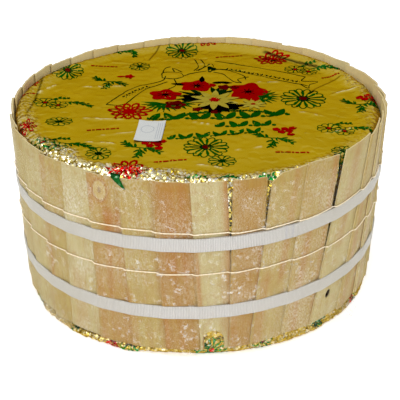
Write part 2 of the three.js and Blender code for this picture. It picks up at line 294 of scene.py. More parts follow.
# %% Bending a flat sheet over the wheel
(TOP_LOW, TOP_HIGH), (FOOT_LOW, FOOT_HIGH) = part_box("foil_top_sheet"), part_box("foil_bottom_sheet")
WHEEL_TOP = TOP_HIGH.z / MM
TAPER_SLOPE = 0.0287  # how much the side's radius shrinks for each millimetre down
# Both sides are drawn in from the measured sheets, to leave room for puffs and crumples
TOP_SIDE_RADIUS = (TOP_HIGH.x - TOP_LOW.x) / MM / 2 - 0.3
FOOT_SIDE_RADIUS = (FOOT_HIGH.x - FOOT_LOW.x) / MM / 2 - 1.9
BELT_RADIUS = 160  # mm, about that of the boards' faces: it turns lengths round the belt into angles


def bend_over_rim(x, y, side_radius, rim_round, face_height, downwards):
    """Places a flat sheet's points on the drum, and gives the way out of the drum at each point.

    With s the distance from the sheet's middle: level while s is under the flat radius, an arc of
    rim_round after that, and then straight along the tapered side.
    """
    s, angle = np.hypot(x, y), np.arctan2(x, -y)
    flat = side_radius - rim_round
    turn = np.clip((s - flat) / rim_round, 0, math.pi / 2)
    along_side = np.maximum(s - flat - rim_round * math.pi / 2, 0)
    radius = np.minimum(s, flat) + rim_round * np.sin(turn) - downwards * TAPER_SLOPE * along_side
    drop = rim_round * (1 - np.cos(turn)) + along_side
    place = around(angle, radius, face_height - downwards * drop)
    outward = around(angle, np.sin(turn), downwards * np.cos(turn))
    return place, outward


print("wheel's top, mm:", round(WHEEL_TOP, 1))

# %% Wrinkles and folds of the top sheet
TOP_RIM_ROUND = 6.0
# Raised wrinkles: start x, y, end x, y, height and half width
WRINKLES = [(-102, 39, -68, 41, 0.9, 1.3), (-96, -32, -64, -35, 0.9, 1.2), (-88, -81, -66, -84, 0.9, 1.2),
            (0, -122, 18, -127, 1.1, 1.3), (50, 50, 72, 51, 0.7, 1.2), (-3, -41, 12, -45, 0.8, 1.0),
            (86, -20, 104, -27, 0.8, 1.2), (104, -64, 128, -52, 0.8, 1.4), (-140, 20, -128, 44, 0.7, 1.5),
            (20, 150, 60, 143, 0.8, 1.6), (-20, 100, 12, 97, 0.5, 1.4), (92, -112, 96, -118, 0.9, 1.2),
            (-50, -60, -78, -68, 0.5, 1.2), (30, -95, 52, -88, 0.5, 1.3), (116, 20, 140, 34, 0.8, 1.6)]
# Folds, where the foil steps down from one layer to the next: start x, y, end x, y and height
FOLDS = [(-32, 166, -47, 108, 0.35), (-140, 66, -141, -2, 0.5), (-141, -2, -143, -26, 0.4),
         (63, 126, 112, 85, 1.5), (130, 62, 104, 34, 0.35), (-127, 98, -96, 121, 0.9),
         (104, 34, 98, 22, 0.3)]
print("wrinkles:", len(WRINKLES), "folds:", len(FOLDS))


# %% Relief of the top sheet
def along_line(x, y, line):
    """Distance to the left of a line, and a 0 to 1 window that fades out past its two ends."""
    x0, y0, x1, y1 = line
    length = math.hypot(x1 - x0, y1 - y0)
    ux, uy = (x1 - x0) / length, (y1 - y0) / length
    forward = (x - x0) * ux + (y - y0) * uy
    sideways = (y - y0) * ux - (x - x0) * uy
    window = smooth_step(-3, 3, forward) * smooth_step(-3, 3, length - forward)
    return sideways, window


def rim_crumple(x, y):
    """How crumpled the top sheet is, 0 to 1: most at the front left of the rim, least at the right.

    Each side of the wheel adds a bell curve of the angle, and a smooth step of the distance from the
    middle starts the band, further in or out as noise along the rim says. The largest of three wins.
    """
    s, angle = np.hypot(x, y), np.arctan2(x, -y)
    reach = 14 * lattice_noise(60 * np.cos(angle), 60 * np.sin(angle), 9, 21)
    front = np.exp(-((angle + math.radians(24)) / math.radians(42)) ** 2)
    edge = np.exp(-((angle + math.radians(4)) / math.radians(48)) ** 4)
    left = np.exp(-((angle + math.radians(95)) / math.radians(40)) ** 2)
    right = np.exp(-((angle - math.radians(105)) / math.radians(30)) ** 2)
    strength = 0.2 + 0.8 * front + 0.05 * left + 0.2 * right
    start = 139 - reach * (0.5 + front)
    band = np.clip(strength, 0, 1) * smooth_step(start, start + 14, s)
    under_slats = 0.6 * smooth_step(151, 158, s)
    return np.maximum(band, np.maximum(edge * smooth_step(143 - 0.4 * reach, 149, s), under_slats))


def top_relief(x, y):
    """Height of the top sheet over its bent shape, in millimetres.

    It adds up slow noise, facets as large as the crumple says, puffs behind the rim at the back and the
    left, a bell curve across each wrinkle, and across each fold a step up that fades out in 14 mm.
    """
    crumple = rim_crumple(x, y)
    calm = 0.9 * (lattice_noise(x, y, 46, 3) - 0.4) + 0.25 * (lattice_noise(x, y, 17, 4) - 0.5)
    gathered = 0.34 * facets(x, y, 5.2, 5) + 0.2 * facets(x, y, 2.7, 6)
    rim = smooth_step(134, 149, np.hypot(x, y))
    puff = 1.6 * crumple * smooth_step(128, 146, np.hypot(x, y))
    puff += 4.2 * rim * np.exp(-((np.arctan2(-x, y) + 0.5) / 0.95) ** 2)
    puff += 3.4 * rim * np.exp(-((np.arctan2(x, -y) + 1.75) / 0.55) ** 2)
    height = calm * 0.6 + puff + crumple * gathered
    height += 0.03 * facets(x, y, 9, 8) * (1 - crumple)
    for x0, y0, x1, y1, rise, half_width in WRINKLES:
        sideways, window = along_line(x, y, (x0, y0, x1, y1))
        wander = 2.2 * (lattice_noise(x, y, 9, 11) - 0.5)
        height += rise * window * np.exp(-((sideways + wander) / half_width) ** 2)
    for x0, y0, x1, y1, rise in FOLDS:
        sideways, window = along_line(x, y, (x0, y0, x1, y1))
        height += rise * window * smooth_step(-0.7, 0.7, sideways) * np.exp(-np.maximum(sideways, 0) / 14)
    return np.maximum(height, -0.15)


# The widest gap between boards: its angle at the wheel's top, its lean in radians for each millimetre
# down, and how far the foil bulges into it
GAP_ANGLE, GAP_LEAN, GAP_BULGE = 0.76, 0.00084, 2.2


def on_top_sheet(x, y, lift=0.0):
    """Points of the top sheet, in millimetres, a small lift above its surface.

    The relief is added along the way out of the drum. It is kept low on the side, where the boards
    press, and behind the widest gap a narrow bell curve of foil bulges out between them.
    """
    place, outward = bend_over_rim(x, y, TOP_SIDE_RADIUS, TOP_RIM_ROUND, WHEEL_TOP, 1)
    from_gap = np.arctan2(x, -y) - GAP_ANGLE + GAP_LEAN * (WHEEL_TOP - place[..., 2])
    bulge = GAP_BULGE * np.exp(-(from_gap / 0.012) ** 2) * smooth_step(90, 125, place[..., 2])
    height = np.minimum(top_relief(x, y), 1.2 + 3.6 * outward[..., 2]) + lift
    height += bulge * smooth_step(0.5, 0.0, outward[..., 2])
    return place + outward * height[..., None]


print("middle of the top sheet, mm:", on_top_sheet(np.zeros(1), np.zeros(1)).round(2).tolist())

# %% Relief of the bottom sheet
FOOT_RIM_ROUND = 4.0


def on_bottom_sheet(x, y, lift=0.0):
    """Points of the bottom sheet: flat on the floor, crumpled where it turns up the side.

    Where it stands, two sizes of facets crumple it. Low down, where the gathered foil bags out, a lip
    stands out from under the slats: a smooth step up from the floor times one down at the slats' feet.
    """
    place, outward = bend_over_rim(x, y, FOOT_SIDE_RADIUS, FOOT_RIM_ROUND, 0.0, -1)
    standing = np.clip(1 + outward[..., 2], 0, 1)
    crumple = 0.26 * facets(x, y, 4.6, 15) + 0.16 * facets(x, y, 2.4, 16) + 0.3
    angle = np.arctan2(x, -y)
    front_left = smooth_step(math.radians(-78), math.radians(-48), angle) * smooth_step(-0.08, -0.45, angle)
    tight = np.exp(-((angle - 0.05) / 0.4) ** 2)
    uneven = 0.85 + 0.3 * lattice_noise(BELT_RADIUS * angle + 600, 0 * angle, 17, 18)
    bagging = (2.6 - 2.4 * tight + 4.2 * front_left) * uneven
    lip = bagging * smooth_step(0.2, 0.75, standing) * smooth_step(6.2, 4.0, place[..., 2])
    height = standing * np.clip(crumple, -0.6, 1.1) + lip + lift
    points = place + outward * height[..., None]
    points[..., 2] = np.maximum(points[..., 2], 0.0)
    return points


print("side of the foil, radius in mm:", round(FOOT_SIDE_RADIUS, 1), "to", round(TOP_SIDE_RADIUS, 1))

# %% [markdown]
# ## The foil as a mesh
#
# A disc of rings has points crowded in the middle and sparse at the rim, where the crumples need them.
# So the inner rings have a third as many points as the outer ones, and one row of six-sided faces
# joins the two. The same ring maker serves the top sheet and the bottom sheet.


# %% Rings of a foil sheet
INNER_COLUMNS = 340
OUTER_COLUMNS = 3 * INNER_COLUMNS


def foil_rings(inner_stations, outer_stations, place):
    """A disc of foil: a middle point, coarse inner rings, fine outer rings.

    A station s at an angle is x = s * sin(angle), y = -s * cos(angle). Returns x, y, points and faces.
    """
    inner_angle = np.linspace(0, 2 * math.pi, INNER_COLUMNS, endpoint=False)
    outer_angle = np.linspace(0, 2 * math.pi, OUTER_COLUMNS, endpoint=False)
    flat_x = [np.zeros(1)]
    flat_y = [np.zeros(1)]
    for stations, angles in ((inner_stations, inner_angle), (outer_stations, outer_angle)):
        s, angle = np.meshgrid(stations, angles, indexing="ij")
        flat_x.append((s * np.sin(angle)).ravel())
        flat_y.append((-s * np.cos(angle)).ravel())
    x, y = np.concatenate(flat_x), np.concatenate(flat_y)
    outer_start = 1 + len(inner_stations) * INNER_COLUMNS
    column = np.arange(INNER_COLUMNS)
    last_inner = outer_start - INNER_COLUMNS
    hub = np.stack([0 * column, 1 + column, 1 + (column + 1) % INNER_COLUMNS], -1)
    seam = [last_inner + column]
    seam += [outer_start + (3 * column + step) % OUTER_COLUMNS for step in range(4)]
    seam.append(last_inner + (column + 1) % INNER_COLUMNS)
    faces = hub.tolist()
    faces += grid_faces(len(inner_stations), INNER_COLUMNS, True, 1)[:, ::-1].tolist()
    faces += np.stack(seam, -1).tolist()
    faces += grid_faces(len(outer_stations), OUTER_COLUMNS, True, outer_start)[:, ::-1].tolist()
    return x, y, place(x, y), faces


top_x, top_y, top_points, top_faces = foil_rings(
    np.linspace(2.5, 104, 46), np.concatenate([np.linspace(105.5, 158, 46), np.linspace(160, 262, 14)]),
    on_top_sheet)
foot_x, foot_y, foot_points, foot_faces = foil_rings(
    np.linspace(10, 110, 5), np.concatenate([[118, 128, 136, 141], np.linspace(143, 170, 24), [185, 205]]),
    on_bottom_sheet)
print("top sheet points", len(top_points), "bottom sheet points", len(foot_points))

# %% [markdown]
# ## Gold foil and its printing inks
# Where it is crumpled, each cell is also painted a random colour from dark gold to white: painted glints
# and painted shade.
#
# The wrapper is aluminium foil under a yellow lacquer, which makes it a metal with a gold colour. Flat
# foil mirrors the white room evenly. Crumpled foil is thousands of small flat mirrors, each turned its
# own way, so each cell of a fine Voronoi pattern turns the surface's normal by its own random amount.
# The inks are thin and see-through: they tint the metal, and keep most of its shine.


# %% Foil material
FINE_FACET = 1.7  # mm across one small mirror of crumpled foil
LACQUER_PATCH = 38.46  # mm from one thicker patch of lacquer to the next
SMEAR_SIZE = 14.29  # mm across a smear of handling, where the foil is duller


def foil_material(name, flat_color, facet_glint_colors, edge_tint, roughness):
    """Lacquered or printed foil: a coloured metal whose small facets turn where it is crumpled, and get
    painted glints and painted shade there.
    """
    material, tree = new_material(name)
    place = add_node(tree, "TexCoord").outputs["Object"]
    crumple, crease, crest = [add_node(tree, "Attribute", {"attribute_name": label}).outputs["Fac"]
                              for label in ("crumple", "crease", "crest")]
    cell = add_node(tree, "TexVoronoi", Vector=place, Scale=1 / (FINE_FACET * MM)).outputs["Color"]
    turn = add_node(tree, "VectorMath", {"operation": "SUBTRACT"}, _0=cell, _1=(0.5, 0.5, 0.5))
    amount = add_node(tree, "MapRange", Value=crumple, To_Min=0.015, To_Max=0.9)
    turned = add_node(tree, "VectorMath", {"operation": "SCALE"}, _0=turn, Scale=amount)
    straight = add_node(tree, "NewGeometry").outputs["Normal"]
    tilted = add_node(tree, "VectorMath", {"operation": "ADD"}, _0=straight, _1=turned)
    normal = add_node(tree, "VectorMath", {"operation": "NORMALIZE"}, _0=tilted)
    patches = add_node(tree, "TexNoise", Vector=place, Scale=1 / (LACQUER_PATCH * MM), Detail=3.0)
    shade = add_node(tree, "MapRange", Value=patches, To_Min=0.84, To_Max=1.16)
    flat = add_node(tree, "VectorMath", {"operation": "SCALE"}, _0=rgb(flat_color)[:3], Scale=shade)
    lottery = add_node(tree, "SeparateColor", Color=cell)
    # Painted glints and painted shade: each crumpled facet takes a random colour from the ramp.
    painted_glints = add_node(tree, "ValToRGB", {"stops": facet_glint_colors}, Fac=lottery)
    gathered = add_node(tree, "Math", {"operation": "POWER", "use_clamp": True}, _0=crumple, _1=1.7)
    color = add_node(tree, "Mix", COLOR_MIX, _0=gathered, _6=flat, _7=painted_glints)
    # Painted shadow: dark lines along the folds.
    color = add_node(tree, "Mix", COLOR_MIX, _0=crease, _6=color, _7=rgb("#160E03"))
    # Painted highlight: pale lines on the wrinkles' crests and on the front of the rim.
    color = add_node(tree, "Mix", COLOR_MIX, _0=crest, _6=color, _7=rgb("#FFF6C0"))
    smears = add_node(tree, "TexNoise", Vector=place, Scale=1 / (SMEAR_SIZE * MM), Detail=4.0)
    dull = add_node(tree, "MapRange", Value=smears, To_Min=roughness, To_Max=roughness + 0.16)
    shader = add_node(tree, "BsdfPrincipled", Base_Color=color, Normal=normal, Roughness=dull,
                      Metallic=1.0, Specular_Tint=rgb(edge_tint))
    add_node(tree, "OutputMaterial", Surface=shader)
    return material


print("foil facets, mm:", FINE_FACET)

# %% Foils and inks
# Colours picked at random for each facet of crumpled foil: painted shade, gold and painted glints.
GOLD_PAINTED_GLINTS = [(0.0, "#A8861E"), (0.3, "#D8BC48"), (0.52, "#F2E492"), (0.74, "#FFFBE2"), (1.0, "#FFFFFA")]
FOOT_PAINTED_GLINTS = [(0.0, "#8A7018"), (0.5, "#BC9E3A"), (0.85, "#DCCB7C"), (1.0, "#FFFBE0")]
# The lacquer is a clear gold varnish: the eye sees a yellow mirror. At the foot it is scuffed and browner.
gold_foil = foil_material("gold_lacquered_foil", "#D1B43A", GOLD_PAINTED_GLINTS, "#C8A880", 0.2)
foot_foil = foil_material("gold_lacquered_foil_at_the_foot", "#B8962C", FOOT_PAINTED_GLINTS, "#A08830", 0.24)
# Each ink: its colour on flat foil, its painted sheen on crumpled foil and its painted glint. Inks are
# thin, so the metal shines through them. "heart" is the red that is printed over the cream petals.
INK_COLORS = {
    "green": ("#2A6E22", "#12A044", "#D0F4D8"),
    "deep_green": ("#1C4A1C", "#0E7434", "#B0DCBC"),
    "red": ("#C20D0A", "#E01410", "#FFC8B8"),
    "maroon": ("#7E1410", "#9A1814", "#E8A8A0"),
    "black": ("#110D08", "#1E1810", "#8A8468"),
    "cream": ("#D8C45C", "#F0E490", "#FFFFFA"),
    "heart": ("#C20D0A", "#E01410", "#FFC8B8"),
}
inks = {}
for ink, (flat, crumpled, glint) in INK_COLORS.items():
    stops = [(0.0, flat), (0.5, crumpled), (0.85, crumpled), (1.0, glint)]
    inks[ink] = foil_material("ink_" + ink, flat, stops, "#707064", 0.25)
print("inks:", *inks)


# %% Foil pieces
def crease_shade(x, y):
    """Dark lines, 0 to 1, along the folds, where the foil's edge throws a shadow: a bell curve on each."""
    shade = np.zeros(x.shape)
    for x0, y0, x1, y1, rise in FOLDS:
        sideways, window = along_line(x, y, (x0, y0, x1, y1))
        width = 0.75 + 0.25 * rise
        shade = np.maximum(shade, min(1, 0.6 + 0.5 * rise) * window * np.exp(-(sideways / width) ** 2))
    return shade


def painted_crest_highlight(x, y):
    """Painted highlights, 0 to 1: pale lines along the crests of the wrinkles.

    Across a wrinkle the line is a bell curve, broken up along it by noise. The front of the rim gets
    painted highlights too, in noisy patches between two smooth steps of the distance from the middle.
    """
    shine = np.zeros(x.shape)
    for x0, y0, x1, y1, rise, half_width in WRINKLES:
        sideways, window = along_line(x, y, (x0, y0, x1, y1))
        wander = 2.2 * (lattice_noise(x, y, 9, 11) - 0.5)
        broken = smooth_step(0.35, 0.6, lattice_noise(x, y, 3.4, 23))
        line = np.exp(-((sideways + wander) / (0.45 * half_width)) ** 2)
        shine = np.maximum(shine, rise * window * broken * line)
    s, angle = np.hypot(x, y), np.arctan2(x, -y)
    at_rim = smooth_step(143, 148, s) * smooth_step(156, 151, s) * np.exp(-((angle - 0.05) / 0.75) ** 4)
    rim_highlight = 0.5 * at_rim * smooth_step(0.4, 0.62, lattice_noise(x, y, 2.6, 24))
    return np.clip(np.maximum(shine * 1.4, rim_highlight), 0, 1)


foil_top = add_piece("foil_top", top_points, top_faces, gold_foil, ["foil_top_sheet"])
add_attribute(foil_top, "crumple", rim_crumple(top_x, top_y))
add_attribute(foil_top, "crease", crease_shade(top_x, top_y))
add_attribute(foil_top, "crest", painted_crest_highlight(top_x, top_y))
foil_foot = add_piece("foil_foot", foot_points, [face[::-1] for face in foot_faces], foot_foil,
                      ["foil_bottom_sheet"])
add_attribute(foil_foot, "crumple", 0.75 * smooth_step(120, 145, np.hypot(foot_x, foot_y)))
print("foil faces", len(top_faces), len(foot_faces))

# %% [markdown]
# ## The printed pattern
#
# The wrapper is printed with wild flowers, sprays, a ribbon and a bouquet. Every print is drawn in the
# flat sheet's coordinates as small strips: a stroke is a path with a width that changes along it, and a
# blot is a round patch with a wavy edge. Bending the sheet then carries them over the rim, a few tenths
# of a millimetre above the foil, each ink a little above the one that it covers. A painted picture would
# blur close to, and strips stay sharp. Where the wrapper has words, here are borders of leaves or dashes.

# %% Strokes and blots
INK_LIFT = {"green": 0.12, "deep_green": 0.14, "red": 0.17, "black": 0.2, "maroon": 0.24, "cream": 0.28,
            "heart": 0.34}
prints = {"top": {ink: [] for ink in INK_COLORS}, "foot": {ink: [] for ink in INK_COLORS}}
sheet_in_use = "top"


def put(ink, grid):
    """Keeps a grid of (rows, columns, 2) sheet points to be printed in an ink."""
    prints[sheet_in_use][ink].append(grid)


def stroke(ink, path, half_widths, across=3):
    """A strip along a path: each cross line is square to the path and as wide as asked."""
    path = np.asarray(path, float)
    ahead = np.gradient(path, axis=0)
    ahead /= np.maximum(np.linalg.norm(ahead, axis=1, keepdims=True), 1e-9)
    right = np.stack([ahead[:, 1], -ahead[:, 0]], -1)
    side = np.linspace(-1, 1, across)[None, :, None]
    half = np.broadcast_to(half_widths, len(path))[:, None, None]
    put(ink, path[:, None] + side * half * right[:, None])


def curve(points, spacing=1.6):
    """A smooth path through points: each stretch is a cubic with slopes from its neighbours."""
    p = np.asarray(points, float)
    p = np.concatenate([[2 * p[0] - p[1]], p, [2 * p[-1] - p[-2]]])
    stretches = []
    for a, b, c, d in zip(p[:-3], p[1:-2], p[2:-1], p[3:]):
        t = np.linspace(0, 1, max(2, int(np.linalg.norm(c - b) / spacing)), endpoint=False)[:, None]
        bend = 2 * a - 5 * b + 4 * c - d + t * (3 * (b - c) + d - a)
        stretches.append(b + 0.5 * t * (c - a + t * bend))
    return np.concatenate([*stretches, p[-2:-1]])


def leaf(ink, x, y, bearing, length, half_width, steps=7, pointed=1.0):
    """A leaf or petal from its stalk at x, y: half width is a half sine along it, raised to a power."""
    u = np.linspace(0, 1, steps)
    path = np.stack([x + length * u * math.cos(bearing), y + length * u * math.sin(bearing)], -1)
    stroke(ink, path, half_width * np.sin(math.pi * u ** 0.8) ** pointed)


def blot(ink, x, y, half_width, half_height, lobes=0, depth=0.0, turn=0.0, rings=3):
    """A round patch whose radius swells at each lobe: 1 + depth * cos(lobes * angle)."""
    angle = np.linspace(0, 2 * math.pi, 20 if not lobes else 12 * lobes)
    reach = np.linspace(1, 0.02, rings)[:, None]
    radius = reach * (1 + depth * np.cos(lobes * angle - turn))
    blot_x, blot_y = x + half_width * radius * np.cos(angle), y + half_height * radius * np.sin(angle)
    put(ink, np.stack([blot_x, blot_y], -1))


print("inks above the foil, mm:", INK_LIFT)


# %% Flowers
def star_daisy(x, y, width, height, petals=15, ink="green", heart="maroon", turn=0.2):
    """A daisy drawn by the dark gaps between its petals, which widen outwards, round a small heart.

    A thin line closes each petal: it bulges out from one gap's end to the next by a half sine.
    """
    u = np.linspace(0, 1, 9)
    for k in range(petals):
        bearing = turn + 2 * math.pi * k / petals
        reach = 0.88 + 0.1 * math.cos(3.1 * k)
        bend = 0.12 * math.sin(2.3 * k) * u ** 2
        rho = 0.16 + (reach - 0.16) * u
        path = np.stack([x + width / 2 * rho * np.cos(bearing + bend),
                         y + height / 2 * rho * np.sin(bearing + bend)], -1)
        fat = 0.045 * (width + height) / 2 * (0.3 + 0.9 * u ** 1.5) * (1 - u ** 7)
        stroke(ink, path, fat)
        across_petal = bearing + 2 * math.pi / petals * u
        rho = 0.74 + 0.24 * np.sin(math.pi * u) ** 0.7
        path = np.stack([x + width / 2 * rho * np.cos(across_petal),
                         y + height / 2 * rho * np.sin(across_petal)], -1)
        stroke(ink, path, 0.012 * width + 0.12)
    blot("deep_green" if ink == "green" else ink, x, y, 0.14 * width, 0.14 * height, 7, 0.15)
    blot(heart, x, y, 0.085 * width, 0.085 * height)


def loop_daisy(x, y, width, height, petals=11, ink="red", turn=0.1):
    """A daisy of outlined, pointed petals: each has two bowed sides, over a heart with short rays."""
    u = np.linspace(0, 1, 9)
    for k in range(petals):
        bearing = turn + 2 * math.pi * k / petals
        long = 0.92 + 0.1 * math.cos(2.7 * k)
        for side in (-1, 1):
            along = 0.3 + (long - 0.3) * u
            aside = side * 0.14 * np.sin(math.pi * u ** 1.3)
            px = along * math.cos(bearing) - aside * math.sin(bearing)
            py = along * math.sin(bearing) + aside * math.cos(bearing)
            path = np.stack([x + width / 2 * px, y + height / 2 * py], -1)
            stroke(ink, path, (0.02 * width + 0.2) * (0.7 + 0.7 * u ** 2))
        leaf(ink, x, y, math.atan2(height * math.sin(bearing), width * math.cos(bearing)),
             0.3 * (width + height) / 2, 0.03 * width)
    blot(ink, x, y, 0.15 * width, 0.15 * height, petals, 0.15)


print("two kinds of flower ready")


# %% Twigs, sprays and borders
def twig(x, y, bearing, length, leaf_length=7.0, ink="green"):
    """A twig: a thin stem with pairs of leaves that point forwards, shorter towards the tip."""
    u = np.linspace(0, 1, 8)
    sag = 0.12 * length * np.sin(math.pi * u)
    path = np.stack([x + length * u * math.cos(bearing) - sag * math.sin(bearing),
                     y + length * u * math.sin(bearing) + sag * math.cos(bearing)], -1)
    stroke(ink, path, 0.55)
    for k, at in enumerate(np.linspace(0.2, 1, max(3, int(length / 3)))):
        px, py = np.interp(at, u, path[:, 0]), np.interp(at, u, path[:, 1])
        side = 0.75 if k % 2 else -0.75
        leaf(ink, px, py, bearing + side, leaf_length * (1.15 - 0.4 * at), 1.25)
        leaf(ink, px, py, bearing - 0.7 * side, leaf_length * 0.7, 0.95)


def berries(x, y, size=3.2):
    """A bunch of six round berries, two, three and one."""
    for dx, dy in ((0, 0), (2, 0.6), (1, 1.9), (-1.2, 1.6), (3, 2.4), (2.2, -1.5)):
        blot("red", x + dx * size, y + dy * size, size, size, 5, 0.08)


def spray(x, y, fruit_x, fruit_y, buds=False):
    """Three green twigs that spread from one point, with berries or buds beside them."""
    twig(x, y - 3, math.radians(140), 15)
    twig(x, y - 3, math.radians(-95), 15)
    twig(x, y - 3, math.radians(-28), 17)
    if buds:
        leaf("red", fruit_x - 10, fruit_y, 0.1, 10, 1.8)
        blot("red", fruit_x + 2, fruit_y, 4, 4.5, 5, 0.2)
    else:
        berries(fruit_x - 3, fruit_y - 3)


def posy(x, y):
    """Two small daisies with red hearts side by side, and a leafy tail to the right."""
    star_daisy(x - 7, y + 2, 20, 20, 9, heart="red")
    star_daisy(x + 5, y - 4, 17, 17, 8, heart="red", turn=0.5)
    twig(x + 8, y + 3, math.radians(-22), 26, 6)
    twig(x - 3, y + 9, math.radians(10), 14, 5)


def dashes(x, y, length, slope, ink="red", thick=1.05):
    """A line of short dashes of mixed lengths, on a gentle slope."""
    ends = np.cumsum([0.0, 0.16, 0.11, 0.2, 0.1, 0.14, 0.18, 0.11])
    for start, stop in zip(ends[:-1], ends[1:]):
        u = np.linspace(start, stop - 0.03, 4) / ends[-1] - 0.5
        path = np.stack([x + length * u * math.cos(slope), y + length * u * math.sin(slope)], -1)
        stroke(ink, path, thick)


def leaf_border(points, leaf_length, half_width, spacing, ink="green"):
    """A border of leaves: they lean to and fro along a path, with a bead between each two."""
    path = curve(points, 0.5)
    run = np.concatenate([[0], np.cumsum(np.linalg.norm(np.diff(path, axis=0), axis=1))])
    for k, at in enumerate(np.arange(spacing / 2, run[-1], spacing)):
        x, y = np.interp(at, run, path[:, 0]), np.interp(at, run, path[:, 1])
        lean = 0.42 if k % 2 else -0.42
        bearing = math.pi / 2 + lean
        start_x, start_y = x - leaf_length / 2 * math.cos(bearing), y - leaf_length / 2 * math.sin(bearing)
        leaf(ink, start_x, start_y, bearing, leaf_length, half_width, 9, 0.8)
        blot(ink, x + spacing / 2, y - leaf_length * 0.3, half_width * 0.6, half_width * 0.6)
        leaf(ink, start_x, start_y, bearing + 0.9, leaf_length * 0.45, half_width * 0.55)


print("twigs, sprays and borders ready")

# %% Flowers scattered over the top
for place in ((-16, 134, 32, 42), (-121, 77, 30, 40), (91, 11, 40, 46), (6, -90, 36, 38)):
    star_daisy(*place, petals=15)
for place in ((-55, 91, 20, 22), (-115, -39, 23, 18), (-77, -102, 20, 23), (18, -115, 22, 20),
              (112, -98, 19, 16), (-148, -90, 16, 16), (150, 4, 14, 22)):
    star_daisy(*place, petals=11, heart="deep_green")
for place in ((-58, -18, 38, 38), (70, 111, 34, 28), (9, 151, 20, 18), (-139, -53, 15, 28),
              (-53, -132, 34, 38), (-149, 39, 14, 22)):
    loop_daisy(*place, petals=11 if place[2] > 25 else 8)
spray(-82, 56, -65, 65, buds=True)
spray(-46, -88, -35, -84)
spray(58, -70, 70, -58)
spray(138, 0, 147, 10)
twig(-68, 136, math.radians(-70), 18, 6)
twig(-82, 124, math.radians(10), 20, 5)
twig(36, 149, math.radians(5), 22, 6)
for place in ((-125, 0), (-115, -86), (113, -56), (97, 82)):
    posy(*place)
for x, y, bearing in ((-96, 122, 35), (140, 84, -60), (150, 48, -80), (124, 92, -50), (126, 112, -20),
                      (104, -104, -60), (-10, -146, 0), (14, -147, 10), (42, -146, 20), (58, -147, 40)):
    twig(x, y, math.radians(bearing), 13, 6)
for x, y, length, slope in ((-88, 92, 26, -8), (30, 119, 27, 10), (-77, -55, 27, 9), (-21, -115, 26, 10),
                            (73, -100, 27, -2), (121, 64, 18, 20), (-148, 14, 18, 28)):
    dashes(x, y, length, math.radians(slope))
print("prints so far:", sum(len(grids) for grids in prints["top"].values()))

# %% The bouquet in the middle
blot("black", 19, -6, 18, 9, 7, 0.14, 1.0)
blot("black", -5, 13, 9, 9, 5, 0.2)
for bearing in (-112, -84, -58, -34, -14):
    leaf("black", 16, -3, math.radians(bearing), 20, 3.6)
for bearing in (128, 150, 172, 190, 208):
    leaf("deep_green", 8, 14, math.radians(bearing), 30, 2.6)
for bearing in (35, 58, 80, 104):
    leaf("deep_green", 16, 20, math.radians(bearing), 20, 2.8)
for bearing in (-62, -38, -16):
    leaf("green", -18, 2, math.radians(bearing), 17, 1.8)
for x, y, bearing, length in ((3, 50, 88, 16), (-12, 45, 170, 13), (12, 48, 15, 14), (20, 50, -8, 11)):
    leaf("black", x, y, math.radians(bearing), length, 2.6)
for bearing in range(-190, -20, 17):
    leaf("green", -30, 0, math.radians(bearing), 20, 1.5)
    leaf("green", 52, 16, math.radians(bearing + 120), 20, 1.6)
for x, y, width, height, turn in ((-1, 42, 15, 12.5, 0.6), (44, 27, 15.5, 20, 0.0), (-29, 20, 13, 12, 1.1)):
    blot("red", x, y, width, height, 5, 0.15, turn, 5)
    blot("black", x, y, 3.4, 3.4, 8, 0.3)
    for k in range(9):
        bearing = 0.7 * k
        reach_x, reach_y = x + 4 * math.cos(bearing), y + 4 * math.sin(bearing)
        leaf("black", reach_x, reach_y, bearing, 3.4, 0.55, 5)
for x, y, size in ((-20, -3, 8.5), (23, 38, 5.5), (32, 37, 4), (-1, -13, 4), (14, -19, 3.6)):
    blot("maroon", x, y, size, size, 5, 0.16)
blot("black", -20, -3, 3.6, 3.2, 7, 0.3)
for x, y, reach, petals in ((14, 8, 22, 10), (47, -2, 12, 9)):
    for k in range(petals):
        bearing = 0.25 + 2 * math.pi * k / petals
        leaf("cream", x + 0.1 * reach * math.cos(bearing), y + 0.1 * reach * math.sin(bearing), bearing,
             0.92 * reach, 0.15 * reach, 9, 0.8)
blot("heart", 14, 8, 4.6, 4.4, 6, 0.1)
blot("heart", 47, -2, 2.2, 2.2)
print("prints with the bouquet:", sum(len(grids) for grids in prints["top"].values()))

# %% Ribbon and leaf borders
RIBBON_LINES = [
    [(-79, -3), (-72, 12), (-62, 31), (-52, 42), (-40, 49), (-32, 56), (-30, 66)],
    [(-63, -3), (-56, 14), (-47, 33), (-38, 42), (-28, 52)],
    [(-79, -3), (-70, -4), (-63, -3)],
    [(-33, 62), (-33, 74), (-24, 77), (-16, 73), (-14, 64), (-22, 59), (-33, 62)],
    [(-33, 74), (-31, 86), (-26, 90)], [(-22, 77), (-24, 86), (-18, 80), (-15, 76)],
    [(-14, 66), (-8, 72), (0, 76), (8, 80), (14, 89), (12, 98), (5, 88), (-2, 80)],
    [(0, 80), (6, 92), (4, 104), (2, 110)], [(-4, 80), (0, 90), (-2, 104), (-4, 110)],
    [(14, 82), (24, 84), (34, 76), (42, 66), (43, 58)], [(14, 76), (22, 72), (28, 60), (33, 51), (39, 49)],
    [(39, 49), (36, 58), (46, 64)],
    [(16, 106), (34, 98), (56, 88), (80, 76), (98, 64)], [(16, 84), (34, 80), (54, 68), (76, 54), (98, 42)],
    [(98, 64), (94, 54), (108, 52), (100, 44), (98, 36), (92, 44)],
    [(-22, 59), (-20, 44), (-28, 32)],
]
for points in RIBBON_LINES:
    path = curve(points)
    stroke("deep_green", path, 0.42 + 0.14 * np.sin(np.linspace(0, 9, len(path))))
blot("deep_green", 12, 84, 4, 7, 3, 0.2)
leaf_border([(25, 86), (46, 76), (66, 66), (90, 52)], 4.6, 0.8, 4.4, "deep_green")
